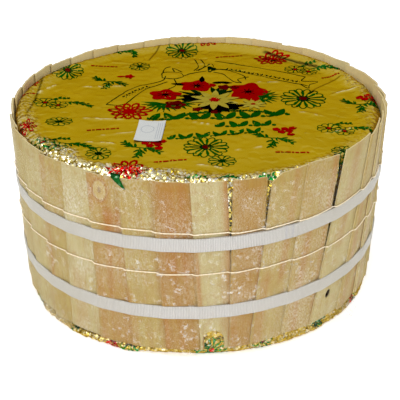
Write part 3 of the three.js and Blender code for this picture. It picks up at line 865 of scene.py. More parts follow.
leaf_border([(-66, 14), (-56, 30), (-44, 42)], 4.0, 0.8, 4.4, "deep_green")
leaf_border([(-41, -30), (-10, -27), (30, -26), (76, -18)], 17, 3.7, 10.6)
leaf_border([(14, -46), (36, -44), (58, -43)], 13, 3.1, 9.6)
leaf_border([(-24, -71), (5, -66), (30, -61), (54, -56)], 11, 2.3, 7.0)
twig(-38, -38, math.radians(8), 112, 4)
print("prints with the ribbon:", sum(len(grids) for grids in prints["top"].values()))

# %% Prints on the bottom sheet, seen at its edge
sheet_in_use = "foot"
FOOT_EDGE = FOOT_SIDE_RADIUS - FOOT_RIM_ROUND + FOOT_RIM_ROUND * math.pi / 2


def on_foot_edge(degrees, height):
    """Sheet coordinates of a place on the folded-up side of the bottom sheet."""
    s = FOOT_EDGE + height - FOOT_RIM_ROUND
    return s * math.sin(math.radians(degrees)), -s * math.cos(math.radians(degrees))


star_daisy(*on_foot_edge(4, 5), 27, 24, 13, heart="red")
for degrees in range(-160, 190, 41):
    star_daisy(*on_foot_edge(degrees + 16, 7), 18, 14, 11)
    twig(*on_foot_edge(degrees - 8, 8), math.radians(degrees - 8), 18, 5, "deep_green")
for degrees in (-27, 60, 100, 150, -80, -130):
    loop_daisy(*on_foot_edge(degrees, 6), 14, 14, 7)
print("prints on the bottom sheet:", sum(len(grids) for grids in prints["foot"].values()))


# %% Printing
def print_inks(sheet, place_on, flipped):
    """Joins each ink's grids into one piece that follows the sheet."""
    for ink, grids in prints[sheet].items():
        if not grids:
            continue
        flat, faces, start = [], [], 0
        for grid in grids:
            rows, columns, _ = grid.shape
            flat.append(grid.reshape(-1, 2))
            faces.append(grid_faces(rows, columns, False, start))
            start += rows * columns
        flat, faces = np.concatenate(flat), np.concatenate(faces)
        corners = flat[faces]
        diagonals = corners[:, 2] - corners[:, 0], corners[:, 3] - corners[:, 1]
        turning = diagonals[0][:, 0] * diagonals[1][:, 1] - diagonals[0][:, 1] * diagonals[1][:, 0]
        backwards = (turning < 0) != flipped
        faces[backwards] = faces[backwards][:, ::-1]
        points = place_on(flat[:, 0], flat[:, 1], INK_LIFT[ink])
        piece = add_piece(f"print_{sheet}_{ink}", points, faces, inks[ink])
        if sheet == "top":
            add_attribute(piece, "crumple", rim_crumple(flat[:, 0], flat[:, 1]))
            add_attribute(piece, "crease", crease_shade(flat[:, 0], flat[:, 1]))
        else:
            add_attribute(piece, "crumple", np.full(len(flat), 0.7))
        print("printed", piece.name, len(faces), "faces")


print_inks("top", on_top_sheet, False)
print_inks("foot", on_bottom_sheet, True)

# %% [markdown]
# ## Where the poplar slats lie
#
# The belt is a row of thin boards, peeled or sawn from poplar, each with its left edge on its left
# neighbour. A board could be a box with a modifier that bends it. Here each one is a grid blended between
# the four corners of the measured slat, so it lies where the slat lies, leans as it leans, and drops
# inwards to the right so that the next board can lie on it.

# %% Corners of the slats
SLAT_COUNT = 36
SLAT_THICKNESS = 1.6


def slat_corners(name):
    """Angle, radius and height of a slat's outer corners: foot left, foot right, top left, top right.

    The corner on a side is the point that lies furthest that way, with a little weight on the radius,
    so that the outer of two points is taken.
    """
    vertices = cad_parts[name].data.vertices
    flat = np.empty(3 * len(vertices), np.float32)
    vertices.foreach_get("co", flat)
    points = flat.reshape(-1, 3).astype(float) / MM
    middle = math.atan2(points[:, 0].mean(), -points[:, 1].mean())
    angle = np.arctan2(points[:, 0], -points[:, 1])
    angle = (angle - middle + math.pi) % (2 * math.pi) - math.pi + middle
    radius = np.hypot(points[:, 0], points[:, 1])
    across, up = (angle - middle) * BELT_RADIUS / 15, (points[:, 2] - points[:, 2].mean()) / 25
    best = [np.argmax(side * across + end * up + 0.05 * radius) for end in (-1, 1) for side in (-1, 1)]
    return np.stack([angle[best], radius[best], points[best, 2]], -1)


slat_names = [f"slat_{number:02d}" for number in range(1, SLAT_COUNT + 1)]
corners = {name: slat_corners(name) for name in slat_names}
print("slat widths, mm:", [round(float((c[1, 0] - c[0, 0]) * c[0, 1]), 1) for c in corners.values()][:9])

# %% Tucked edges and low feet
OPEN_GAPS = (1, 2, 4)  # boards that leave a gap before the next one
TUCK = 2.5 / BELT_RADIUS  # angle by which any other board reaches under the next one
LOW_FOOT_ANGLE, LOW_FOOT_SPREAD, LOW_FOOT_DROP = -1.13, 0.36, 1.0  # where the boards' feet hang lower
for number in range(1, SLAT_COUNT + 1):
    own = corners[slat_names[number - 1]]
    middle = own[:, 0].mean()
    if number not in OPEN_GAPS:
        after = corners[slat_names[number % SLAT_COUNT]]
        for left, right in ((0, 1), (2, 3)):
            past = (after[left, 0] + TUCK - own[right, 0] + math.pi) % (2 * math.pi) - math.pi
            slope = (own[right, 1] - own[left, 1]) / (own[right, 0] - own[left, 0])
            own[right, :2] += max(past, 0.0) * np.array([1.0, slope])
    own[:2, 2] -= LOW_FOOT_DROP * math.exp(-((middle - LOW_FOOT_ANGLE) / LOW_FOOT_SPREAD) ** 2)
WIDEST_SLATS = max(float(corner[2:, 1].max()) for corner in corners.values())
print("widest radius of the belt, mm:", round(WIDEST_SLATS, 2))


# %% Points on a slat and on the belt
def on_slat(name, u, v):
    """Angle, radius and height at shares u across and v along a slat, blended between its corners."""
    u, v = u[..., None], v[..., None]
    foot_left, foot_right, top_left, top_right = corners[name]
    return (foot_left * (1 - u) + foot_right * u) * (1 - v) + (top_left * (1 - u) + top_right * u) * v


def belt_surface(angle, z):
    """Radius of the outermost slat at angles and heights: the largest of the slats that reach there."""
    outermost = np.full(angle.shape, 150.0)
    for name in slat_names:
        foot_left, foot_right, top_left, top_right = corners[name]
        v = np.clip((z - foot_left[2]) / (top_left[2] - foot_left[2]), 0, 1)
        left = foot_left[0] * (1 - v) + top_left[0] * v
        foot_width, top_width = foot_right[0] - foot_left[0], top_right[0] - top_left[0]
        width = foot_width + v * (top_width - foot_width)
        u = ((angle - left + math.pi) % (2 * math.pi) - math.pi) / width
        radius = on_slat(name, np.clip(u, 0, 1), v)[..., 1]
        outermost = np.where((u >= 0) & (u <= 1), np.maximum(outermost, radius), outermost)
    return outermost


print("belt in front, radius in mm:", belt_surface(np.zeros(1), np.full(1, 80.0)).round(1))

# %% [markdown]
# ## Poplar wood
#
# Sliced poplar is pale, matt and unfinished. Its fibres show as fine streaks along the board, the
# heartwood as broader brown bands, and drying as stains and a whitish haze. A picture of wood would
# repeat on every board. Noise drawn out along the board never does: each point stores where it lies on
# its own board, and the noise reads that, so the grain follows the board wherever it leans. Stains,
# knots and haze have places, so they are numbers stored at the points, worked out with the board.

# %% Poplar
# Name of a noise, width and length of its marks in mm, detail and roughness
MARKS = [("fibre", 0.9, 26.0, 4.0, 0.7), ("band", 4.5, 90.0, 3.0, 0.6), ("mottle", 5.0, 9.0, 5.0, 0.7),
         ("fleck", 1.1, 2.2, 3.0, 0.7)]
BOARD_STEP = 7.3  # how far apart in the noise two boards lie, for each millimetre of their third number
KNOT_SIZE = 10.0  # mm from the middle of a knot to where its ring fades out

# Unfinished poplar: the eye sees no gloss, only fibre, colour and a little relief.
poplar, tree = new_material("sliced_poplar_unfinished")
board = add_node(tree, "Attribute", {"attribute_name": "board"}).outputs["Vector"]
tone, stain, knot, haze, inside = [add_node(tree, "Attribute", {"attribute_name": label}).outputs["Fac"]
                                   for label in ("tone", "stain", "knot", "haze", "inside")]
marks = {}
for label, width, length, detail, roughness in MARKS:
    drawn_out = add_node(tree, "VectorMath", {"operation": "MULTIPLY"},
                         _0=board, _1=(1 / width, 1 / length, BOARD_STEP))
    marks[label] = add_node(tree, "TexNoise", Vector=drawn_out, Scale=1.0, Detail=detail,
                            Roughness=roughness)

drift = add_node(tree, "Math", {"operation": "MULTIPLY_ADD"}, _0=marks["band"], _1=0.5, _2=-0.25)
browner = add_node(tree, "Math", {"operation": "ADD"}, _0=tone, _1=drift)
wood = add_node(tree, "ValToRGB", {"stops": [(0.0, "#B4A676"), (0.3, "#A99652"), (0.6, "#A08036"),
                                             (1.0, "#94681E")]}, Fac=browner)
streak = add_node(tree, "MapRange", Value=marks["fibre"], From_Min=0.3, From_Max=0.75, To_Min=0.83,
                  To_Max=1.07)
wood = add_node(tree, "Mix", {"data_type": "RGBA", "blend_type": "MULTIPLY"}, _0=1.0, _6=wood, _7=streak)
blotch = add_node(tree, "MapRange", Value=marks["mottle"], From_Min=0.48, From_Max=0.72, To_Max=0.5)
wood = add_node(tree, "Mix", COLOR_MIX, _0=blotch, _6=wood, _7=rgb("#97681A"))
soaked = add_node(tree, "MapRange", Value=marks["band"], From_Min=0.25, From_Max=0.7, To_Min=0.5,
                  To_Max=1.1)
stained = add_node(tree, "Math", {"operation": "MULTIPLY"}, _0=stain, _1=soaked)
wood = add_node(tree, "Mix", COLOR_MIX, _0=stained, _6=wood, _7=rgb("#985E06"))
knot_reach = add_node(tree, "Math", {"operation": "DIVIDE"}, _0=knot, _1=KNOT_SIZE)
knot_stops = [(0.0, "#4E3014"), (0.12, "#7A5220"), (0.24, "#AE9456"), (0.5, "#B39C62"), (0.6, "#8E5A12"),
              (0.75, "#A0701E")]
knot_wood = add_node(tree, "ValToRGB", {"stops": knot_stops}, Fac=knot_reach)
at_knot = add_node(tree, "MapRange", Value=knot_reach, From_Min=0.66, From_Max=1.0, To_Min=0.75, To_Max=0.0)
wood = add_node(tree, "Mix", COLOR_MIX, _0=at_knot, _6=wood, _7=knot_wood)
flecked = add_node(tree, "MapRange", Value=marks["fleck"], From_Min=0.42, From_Max=0.68)
hazy = add_node(tree, "Math", {"operation": "MULTIPLY"}, _0=haze, _1=flecked)
wood = add_node(tree, "Mix", COLOR_MIX, _0=hazy, _6=wood, _7=rgb("#CAC3AE"))
# Painted light: the boards' inner faces are made paler, as if lit.
painted_inner_light = add_node(tree, "Math", {"operation": "MULTIPLY"}, _0=inside, _1=0.65)
wood = add_node(tree, "Mix", COLOR_MIX, _0=painted_inner_light, _6=wood, _7=rgb("#EAD9A8"))
relief = add_node(tree, "Math", {"operation": "MULTIPLY_ADD"}, _0=marks["fleck"], _1=0.4, _2=marks["fibre"])
bump = add_node(tree, "Bump", Strength=0.35, Distance=0.25 * MM, Height=relief)
shader = add_node(tree, "BsdfPrincipled", Base_Color=wood, Roughness=0.62, Normal=bump,
                  Specular_IOR_Level=0.35)
add_node(tree, "OutputMaterial", Surface=shader)
print("marks in the wood, mm:", {label: (width, length) for label, width, length, _, _ in MARKS})

# %% [markdown]
# ## Boards
#
# The boards are split and not planed, so their edges wander, their ends are ragged and their faces
# ripple. One has a notch sawn in its foot and one a worm's hole. Both could be cut out with a boolean,
# which leaves long thin faces. Here the notch is a lift of the grid's lowest row to an arch, and at the
# hole the grid's points are pushed out to the rim and the faces inside are left out.

# %% Colours of the boards
# Colour of each board, 0 pale to 1 brown; the others follow a repeatable random order
TONES = {33: 0.12, 34: 0.5, 35: 0.42, 36: 0.72, 1: 0.1, 2: 0.66, 3: 0.42, 4: 0.5, 5: 0.2, 6: 0.4, 7: 0.22,
         8: 0.35, 32: 0.4, 31: 0.22, 30: 0.34}
OTHER_TONES = np.random.default_rng(41).random(SLAT_COUNT + 1) * 0.5 + 0.05
# Brown stains on each board: place across (share), foot and top height, half width (share), strength
STAINS = {
    1: [(0.86, 8, 12, 0.06, 0.95), (0.93, 0, 152, 0.1, 0.75), (0.06, 45, 90, 0.07, 0.75),
        (0.8, 20, 75, 0.12, 0.45)],
    2: [(0.9, 50, 95, 0.1, 0.6), (0.5, 0, 152, 0.4, 0.25), (0.14, 0, 60, 0.1, 0.5)],
    3: [(0.62, 60, 152, 0.1, 0.6), (0.2, 0, 60, 0.14, 0.55)],
    4: [(0.3, 0, 90, 0.12, 0.55), (0.85, 20, 152, 0.08, 0.5)],
    5: [(0.4, 70, 152, 0.16, 0.4)],
    6: [(0.2, 0, 100, 0.12, 0.5), (0.7, 0, 152, 0.12, 0.45)],
    7: [(0.3, 0, 152, 0.14, 0.5)],
    9: [(0.3, 0, 150, 0.1, 0.5)],
    12: [(0.7, 30, 120, 0.14, 0.6)],
    15: [(0.2, 60, 150, 0.1, 0.5)],
    19: [(0.8, 0, 150, 0.12, 0.5)],
    24: [(0.4, 0, 90, 0.2, 0.5)],
    28: [(0.85, 20, 150, 0.1, 0.6)],
    31: [(0.9, 0, 80, 0.14, 0.5)],
    32: [(0.1, 40, 150, 0.12, 0.5)],
    33: [(0.94, 0, 70, 0.08, 0.6), (0.35, 0, 50, 0.2, 0.35)],
    34: [(0.62, 92, 118, 0.27, 0.95), (0.1, 124, 150, 0.1, 0.7), (0.5, 0, 84, 0.5, 0.5),
         (0.93, 0, 84, 0.1, 0.7)],
    35: [(0.06, 0, 45, 0.1, 0.7), (0.85, 0, 150, 0.08, 0.35)],
    36: [(0.04, 0, 30, 0.1, 0.8), (0.08, 30, 75, 0.06, 0.4), (0.55, 70, 152, 0.42, 0.6),
         (0.5, 0, 60, 0.3, 0.3)],
}
KNOTS = {34: (0.34, 137), 13: (0.3, 60), 22: (0.6, 110), 29: (0.5, 40)}  # place across (share), height
HAZE = {33: 0.75, 34: 0.4, 35: 0.4, 36: 0.4, 1: 0.35, 2: 0.5, 3: 0.45, 4: 0.75, 5: 0.4, 6: 0.3}
USUAL_HAZE = 0.35
print("stains:", sum(len(rows) for rows in STAINS.values()), "knots:", len(KNOTS))

# %% Grid of a board
NOTCHED, BORED, BROKEN = 1, 5, 3  # boards with the notch, the hole and a broken upper left corner
NOTCH_RADIUS, NOTCH_TOP, NOTCH_ACROSS = 8.6, 18.0, 10.2
HOLE_HALF_WIDTH, HOLE_HALF_HEIGHT, HOLE_UP, HOLE_ACROSS = 3.0, 3.9, 22.0, 14.5


def slat_size(name):
    """Width at the foot and length of a slat, in millimetres."""
    foot_left, foot_right, top_left, _ = corners[name]
    return (foot_right[0] - foot_left[0]) * foot_left[1], top_left[2] - foot_left[2]


def board_shares(number, width, length):
    """Shares u across and v along a board for each grid point, and which of the grid's faces to keep.

    Columns crowd at the edges, and both ways round the hole. The notch lifts v to an arch, and the
    hole moves the points inside its ellipse straight out to it.
    """
    left_edge, right_edge = [0, 0.012, 0.028, 0.05], [0.95, 0.972, 0.988, 1]
    columns = np.concatenate([left_edge, np.linspace(0.08, 0.92, 11), right_edge])
    stations = np.linspace(0, 1, 56)
    if number == NOTCHED:
        sides = (NOTCH_ACROSS + np.array([-1, 1]) * NOTCH_RADIUS) / width
        arch_columns = np.linspace(sides[0] + 0.01, sides[1] - 0.01, 22)
        columns = np.sort(np.concatenate([columns, sides - 0.002, sides + 0.002, arch_columns]))
    if number == BORED:
        columns = np.sort(np.append(columns, (HOLE_ACROSS + np.linspace(-3.4, 3.4, 14)) / width))
        stations = np.sort(np.append(stations, (HOLE_UP + np.linspace(-4.3, 4.3, 18)) / length))
    v, u = np.meshgrid(stations, columns, indexing="ij")
    keep = slice(None)
    if number == BORED:
        du, dv = (u * width - HOLE_ACROSS) / HOLE_HALF_WIDTH, (v * length - HOLE_UP) / HOLE_HALF_HEIGHT
        away = np.maximum(np.hypot(du, dv), 1e-6)
        in_hole = away < 1
        u = np.where(in_hole, (HOLE_ACROSS + HOLE_HALF_WIDTH * du / away) / width, u)
        v = np.where(in_hole, (HOLE_UP + HOLE_HALF_HEIGHT * dv / away) / length, v)
        keep = ~in_hole.ravel()[grid_faces(*u.shape)].all(1)
    if number == NOTCHED:
        reach = np.clip(1 - ((u * width - NOTCH_ACROSS) / NOTCH_RADIUS) ** 2, 0, None)
        arch = np.where(reach > 0, NOTCH_TOP - NOTCH_RADIUS + NOTCH_RADIUS * np.sqrt(reach), 0) / length
        v = arch + (1 - arch) * v
    if number == BROKEN:
        v = v - 0.045 * np.clip(1 - u / 0.3, 0, 1) ** 2 * smooth_step(0.8, 1, v)
    return u, v, keep


print("notched board, mm:", [round(float(size), 1) for size in slat_size(slat_names[NOTCHED - 1])])

# %% Painted shadow in the worm's hole
# A dark, matt dish behind the hole: nothing shines, and almost no light comes back. It is painted shadow
# where the hole goes through the board.
hole_shadow_paint, tree = new_material("painted_hole_shadow")
place = add_node(tree, "TexCoord").outputs["Object"]
shadow_mottle = add_node(tree, "TexNoise", Vector=place, Scale=1 / (0.4 * MM))
color = add_node(tree, "ValToRGB", {"stops": [(0.3, "#120903"), (0.7, "#2A190A")]}, Fac=shadow_mottle)
shader = add_node(tree, "BsdfPrincipled", Base_Color=color, Roughness=0.95, Specular_IOR_Level=0.05)
add_node(tree, "OutputMaterial", Surface=shader)


def make_hole_shadow(number):
    """Painted shadow for the worm's hole: a dark dish behind it, deeper by the square of the reach."""
    name = slat_names[number - 1]
    width, length = slat_size(name)
    reach, turn = np.meshgrid(np.linspace(0.02, 1, 5), np.linspace(0, 2 * math.pi, 25), indexing="ij")
    u = (HOLE_ACROSS + 1.02 * HOLE_HALF_WIDTH * reach * np.cos(turn)) / width
    v = (HOLE_UP + 1.02 * HOLE_HALF_HEIGHT * reach * np.sin(turn)) / length
    place = on_slat(name, u, v)
    points = around(place[..., 0], place[..., 1] - 0.9 - 0.6 * (1 - reach ** 2), place[..., 2])
    faces = grid_faces(*u.shape)[:, ::-1]
    add_piece("hole_shadow_dish", points.reshape(-1, 3), faces, hole_shadow_paint)
    print("worm gallery faces", len(faces))


make_hole_shadow(BORED)


# %% One board
def stain_on_board(number, u, along):
    """How stained a board is, 0 to 1: the strongest of its stains, each a soft box that drifts sideways."""
    stain = np.zeros(u.shape)
    drift = 0.06 * (lattice_noise(along, 0 * along + 7.5 * number, 24, 35) - 0.5)
    for share, low, high, half, strength in STAINS.get(number, []):
        across_it = np.exp(-((u - share + drift) / half) ** 4)
        along_it = smooth_step(low - 14, low + 3, along) * smooth_step(high + 14, high - 3, along)
        stain = np.maximum(stain, strength * across_it * along_it)
    return stain


def make_board(number):
    """One slat, from its grid and four noises, with the numbers that its wood reads at each point.

    Noise along the board moves the two edges sideways, and fades away from them. Noise across it makes
    the upper end ragged, and noise both ways ripples the face, whose edges are worn down by bell curves.
    """
    name = slat_names[number - 1]
    width, length = slat_size(name)
    u, v, keep = board_shares(number, width, length)
    across, along = u * width, v * length
    edge = lattice_noise(along, 0 * along + 9.5 * number, 13, 31) - 0.5
    splinter = lattice_noise(along, 0 * along + 4.5 * number, 3.1, 32) - 0.5
    wander = (0.5 * edge + 0.25 * splinter) * (np.exp(-u / 0.05) + np.exp(-(1 - u) / 0.05)) / width
    ragged = 0.7 * (lattice_noise(across, 0 * across + 11.5 * number, 2.3, 33) - 0.5)
    ripple = 0.2 * (lattice_noise(across + 31 * number, along, 11, 34) - 0.5)
    place = on_slat(name, u + wander, v)
    z = place[..., 2] + ragged * smooth_step(0.9, 1, v)
    worn_edge = 0.4 * np.exp(-(u / 0.03) ** 2) + 0.5 * np.exp(-((1 - u) / 0.03) ** 2)
    pressed = 0.3 * np.exp(-(u / 0.02) ** 2)
    outer = around(place[..., 0], place[..., 1] + np.minimum(ripple, 0.12) - worn_edge, z)
    inner = around(place[..., 0], place[..., 1] - SLAT_THICKNESS - pressed, z)
    points, faces = sheet_solid(outer, inner, keep=keep)
    piece = add_piece(f"board_{number:02d}", points, faces, poplar, [name], crease=40)

    knot_share, knot_height = KNOTS.get(number, (0.0, -400.0))
    patchy = lattice_noise(across + 17 * number, along, 16, 36)
    numbers = {
        "stain": stain_on_board(number, u, along),
        "knot": np.hypot((u - knot_share) * width, (along - knot_height) / 1.5),
        "haze": np.clip(1.5 * HAZE.get(number, USUAL_HAZE) * patchy, 0, 1),
        "tone": np.full(u.shape, TONES.get(number, OTHER_TONES[number])),
    }
    for label, values in numbers.items():
        add_attribute(piece, label, np.tile(values.ravel(), 2))
    # Marks the inner faces, which the wood paints paler as painted light.
    add_attribute(piece, "inside", np.repeat([0.0, 1.0], u.size))
    on_board = np.stack([across, along, np.full(u.shape, 3.7 * number)], -1)
    add_attribute(piece, "board", np.tile(on_board.reshape(-1, 3), (2, 1)))
    return len(faces)


board_faces = sum(make_board(number) for number in range(1, SLAT_COUNT + 1))
print("boards", SLAT_COUNT, "with", board_faces, "faces")

# %% [markdown]
# ## A tip of foil over the boards
#
# In one place a printed corner of the wrapper hangs out over the belt. It is a strip that narrows to a
# point, and its path is given by a few distances and heights: out from the foil, up over the board's
# end and down its face.


# %% Tip of foil
def make_foil_tip():
    """The hanging tip: its half width is a quarter of a cosine wave, which ends in a point."""
    run = np.linspace(0, 1, 26)[:, None]
    side = np.linspace(-1, 1, 9)[None]
    half_width = 4.2 * np.cos(run * math.pi / 2) ** 0.7 / BELT_RADIUS
    degrees = -23.2 + 3.6 * run ** 1.5
    bends = [0, 0.22, 0.34, 0.42, 1]
    out = np.interp(run, bends, [154.2, 156.2, 159.6, 160.6, 160.2])
    height = np.interp(run, bends, [155.4, 158.8, 158.9, 157.4, 148.6])
    pucker = 0.35 * lattice_noise(40 * side + 9, 60 * run, 7, 91)
    outer = around(np.radians(degrees) + side * half_width, out + pucker, height + 0.2 * pucker)
    inner = outer * [0.999, 0.999, 1]
    points, faces = sheet_solid(outer[::-1], inner[::-1])
    tip = add_piece("foil_tip", points, faces, inks["deep_green"])
    add_attribute(tip, "crumple", np.full(len(points), 0.5))
    print("foil tip faces", len(faces))


make_foil_tip()

# %% [markdown]
# ## Threads
#
# Two cotton threads hold the slats while the belt is wound. A thread falls across the face of each slat
# and climbs in one step over the edge of the next, so its line round the drum is a row of small steps.
# A plain tube would look like wire. Thread is twisted from two yarns, so this tube's cross-section has
# two lobes that turn as it runs on, which gives it a fine slanting waist every few millimetres.

# %% Cotton
# Undyed cotton: quite matt, cream, and paler where fibres stand off it
cotton, tree = new_material("undyed_cotton_thread")
place = add_node(tree, "TexCoord").outputs["Object"]
fuzz = add_node(tree, "TexNoise", Vector=place, Scale=1 / (1.11 * MM), Detail=2.0)
color = add_node(tree, "ValToRGB", {"stops": [(0.3, "#E2CDA4"), (0.6, "#F2E6CC")]}, Fac=fuzz)
shader = add_node(tree, "BsdfPrincipled", Base_Color=color, Roughness=0.85)
add_node(tree, "OutputMaterial", Surface=shader)
print("cotton ready")

# %% Threads
THREAD_RADIUS = 0.45
TWIST_LENGTH = 3.4  # mm of thread for one turn of its two yarns
UPPER_THREAD_HEIGHT, THREAD_SAG = 115.6, 3.0
LOWER_THREAD_HEIGHT, LOWER_THREAD_RISE = 80, 5
UPPER_STRAP_HEIGHT, LOWER_STRAP_HEIGHT = 106.3, 44.8
STRAP_RISE = 6.6  # how much higher a strap runs on the right, and lower on the left
STRAP_WIDTH = 11.3


def resting_radius(angle, z, span):
    """Radius of the belt under something taut: the largest within span steps, then their mean."""
    radius = belt_surface(angle, z)
    taut = np.stack([np.roll(radius, shift) for shift in range(-span, span + 1)]).max(0)
    return np.stack([np.roll(taut, shift) for shift in range(-span, span + 1)]).mean(0)


def make_thread(name, replaced, height_at):
    """A twisted tube round the belt: its radius swells twice round the section, and the swell turns."""
    count, sides = 3000, 8
    angle = np.linspace(-math.pi, math.pi, count, endpoint=False)
    z = height_at(angle)
    run = angle * BELT_RADIUS
    path = resting_radius(angle, z, 4) + THREAD_RADIUS + 0.08
    wander = 0.35 * (lattice_noise(60 + run, 0 * run, 19, 51) - 0.5) + 0.15 * np.sign(np.sin(run * 0.11))
    z = z + wander * smooth_step(math.pi, math.pi - 0.2, abs(angle))
    turn = np.linspace(0, 2 * math.pi, sides, endpoint=False)[:, None]
    lobed = THREAD_RADIUS * (1 + 0.16 * np.cos(2 * turn - 2 * math.pi * run / TWIST_LENGTH))
    grid = around(angle[None], path + lobed * np.cos(turn), z + lobed * np.sin(turn))
    faces = grid_faces(sides + 1, count, True)
    faces = np.where(faces >= sides * count, faces - sides * count, faces)
    add_piece(name, grid.reshape(-1, 3), faces, cotton, [replaced])
    print(name, len(faces), "faces")


def upper_thread_height(angle):
    """It sags on the left and rises on the right, by a signed square, and stays over the strap's edge."""
    hanging = UPPER_THREAD_HEIGHT + THREAD_SAG * np.sin(angle) * abs(np.sin(angle))
    strap_edge = UPPER_STRAP_HEIGHT + STRAP_RISE * np.sin(angle) + STRAP_WIDTH / 2
    return np.maximum(hanging, strap_edge + 0.75)


def lower_thread_height(angle):
    """It rises towards the right by a sine."""
    return LOWER_THREAD_HEIGHT + LOWER_THREAD_RISE * np.sin(angle)


make_thread("twisted_thread_upper", "thread_upper", upper_thread_height)
make_thread("twisted_thread_lower", "thread_lower", lower_thread_height)

# %% [markdown]
# ## Straps
#
# The straps are woven from polyester cords: fine ribs run across them, and cords run along them. They
# are pulled tight by a machine that presses the two ends together. The weave could be made of cords in
# full, which takes a million faces and shows no more than this. The band is a plain sheet with rounded
# edges, wound once round and on over its own start, and the ribs are relief in its material, which reads
# each point's distance along and across the band.

# %% Polyester weave
RIB = 1.25  # mm from one cross rib to the next
CORD = 1.05  # mm from one lengthwise cord to the next

# Woven polyester strapping: the eye sees a silky white, in patches greyer with grime, with painted shade
# between the ribs and away from the front
weave, tree = new_material("white_woven_polyester_strapping")
lane = add_node(tree, "Attribute", {"attribute_name": "lane"}).outputs["Vector"]
press, painted_side_shade = [add_node(tree, "Attribute", {"attribute_name": label}).outputs["Fac"]
                for label in ("press", "painted_side_shade")]
split = add_node(tree, "SeparateXYZ", Vector=lane)
waves = []
for distance, spacing in ((split.outputs["X"], RIB), (split.outputs["Y"], CORD)):
    phase = add_node(tree, "Math", {"operation": "MULTIPLY"}, _0=distance, _1=2 * math.pi / spacing)
    waves.append(add_node(tree, "Math", {"operation": "SINE"}, _0=phase))
rib, cord = waves
crossing = add_node(tree, "Math", {"operation": "MULTIPLY"}, _0=cord, _1=rib)
knit = add_node(tree, "Math", {"operation": "MULTIPLY_ADD"}, _0=crossing, _1=0.5, _2=rib)
raised = add_node(tree, "MapRange", Value=knit, From_Min=-1.5, From_Max=1.5)
# Painted shade: greyer in the hollows between the ribs, paler on them.
color = add_node(tree, "Mix", COLOR_MIX, _0=raised, _6=rgb("#ACA9A6"), _7=rgb("#D3D0CC"))
place = add_node(tree, "TexCoord").outputs["Object"]
grime = add_node(tree, "TexNoise", Vector=place, Scale=1 / (26.32 * MM), Detail=3.0)
worn = add_node(tree, "MapRange", Value=grime, From_Min=0.45, From_Max=0.8, To_Max=0.3)
# Tints: grime, then painted shade away from the front, then the press lines.
for amount, tint in ((worn, "#BDB6A8"), (painted_side_shade, "#ACA694"), (press, "#A5A3A9")):
    color = add_node(tree, "Mix", COLOR_MIX, _0=amount, _6=color, _7=rgb(tint))
bump = add_node(tree, "Bump", Strength=0.7, Distance=0.25 * MM, Height=knit)
shader = add_node(tree, "BsdfPrincipled", Base_Color=color, Roughness=0.42, Normal=bump, Sheen_Weight=0.25)
add_node(tree, "OutputMaterial", Surface=shader)
print("ribs and cords, mm:", RIB, CORD)

# %% Straps
STRAP_THICKNESS = 0.6
STRAP_OVERLAP = 70.0
STRAP_CLIMB = math.radians(20)  # in which a strap climbs on to its own start
PRESS_LINES = (4.0, 9.5)  # mm from the strap's end to the lines of the press


def make_strap(name, replaced, height, end_degrees):
    """A flat band wound once round and on over its own start, with edges that bend in.

    Its radius is that of the belt under it, never far inside the widest slats, plus a step where it
    lies double. A cubic step does the climb, and the fourth power of the place across bends the edges.
    """
    overlap = STRAP_OVERLAP / BELT_RADIUS
    turned = np.linspace(0, 2 * math.pi + overlap, 1500)
    share = np.linspace(-1, 1, 9)[:, None]
    angle = math.radians(end_degrees) - overlap + turned
    on_top = smooth_step(2 * math.pi - STRAP_CLIMB, 2 * math.pi - STRAP_CLIMB / 4, turned)
    z = height + STRAP_RISE * np.sin(angle)
    wrapped = (angle + math.pi) % (2 * math.pi) - math.pi
    around_belt = np.linspace(-math.pi, math.pi, 2400, endpoint=False)
    rest = resting_radius(around_belt, height + STRAP_RISE * np.sin(around_belt), 14)
    surface = np.interp(wrapped, around_belt, rest, period=2 * math.pi)
    widest = WIDEST_SLATS - TAPER_SLOPE * (WHEEL_TOP - z)
    surface = np.maximum(surface, widest - 0.9)
    edge = 0.1 * np.exp(-((1 - abs(share)) / 0.12) ** 2)
    press_line = np.zeros(turned.shape)
    for back in PRESS_LINES:
        from_line = (turned[-1] - turned) * BELT_RADIUS - back
        press_line = np.maximum(press_line, np.exp(-(from_line / 0.9) ** 2))
    outer_radius = surface + 0.12 + STRAP_THICKNESS + edge + 0.9 * on_top - 0.18 * press_line
    outer_radius = outer_radius - 0.5 * abs(share) ** 4
    heights = z + STRAP_WIDTH / 2 * share
    taper = TAPER_SLOPE * STRAP_WIDTH / 2 * share
    outer = around(angle, outer_radius + taper, heights)
    inner = around(angle, outer_radius + taper - STRAP_THICKNESS - 2 * edge, heights)
    points, faces = sheet_solid(outer, inner)
    piece = add_piece(name, points, faces, weave, [replaced], crease=50)
    lane = np.stack(np.broadcast_arrays(turned * BELT_RADIUS, share * STRAP_WIDTH / 2, 0.0), -1)
    add_attribute(piece, "lane", np.tile(lane.reshape(-1, 3), (2, 1)))
    # Painted shade: the strap darkens away from the front, where less light falls.
    away_from_front = 1 - np.exp(-(wrapped / 0.62) ** 2)
    for label, values in (("painted_side_shade", 0.8 * away_from_front), ("press", 0.6 * press_line)):
        add_attribute(piece, label, np.tile(np.broadcast_to(values, outer.shape[:2]).ravel(), 2))
    print(name, len(faces), "faces")


make_strap("woven_strap_upper", "strap_upper", UPPER_STRAP_HEIGHT, 28)
make_strap("woven_strap_lower", "strap_lower", LOWER_STRAP_HEIGHT, 205)

# %% [markdown]
# ## Paper label
#
# The label is a slip of coated paper, stuck down but lifting a little at its corners. It follows the
# foil's relief, so it is the same relief function read at the label's points. Its print is a pale oval
# and a few grey bars in place of words. They are drawn by the material from each point's place on the
# label: an oval is where a stretched distance is close to one, and bars are where a sine is high.

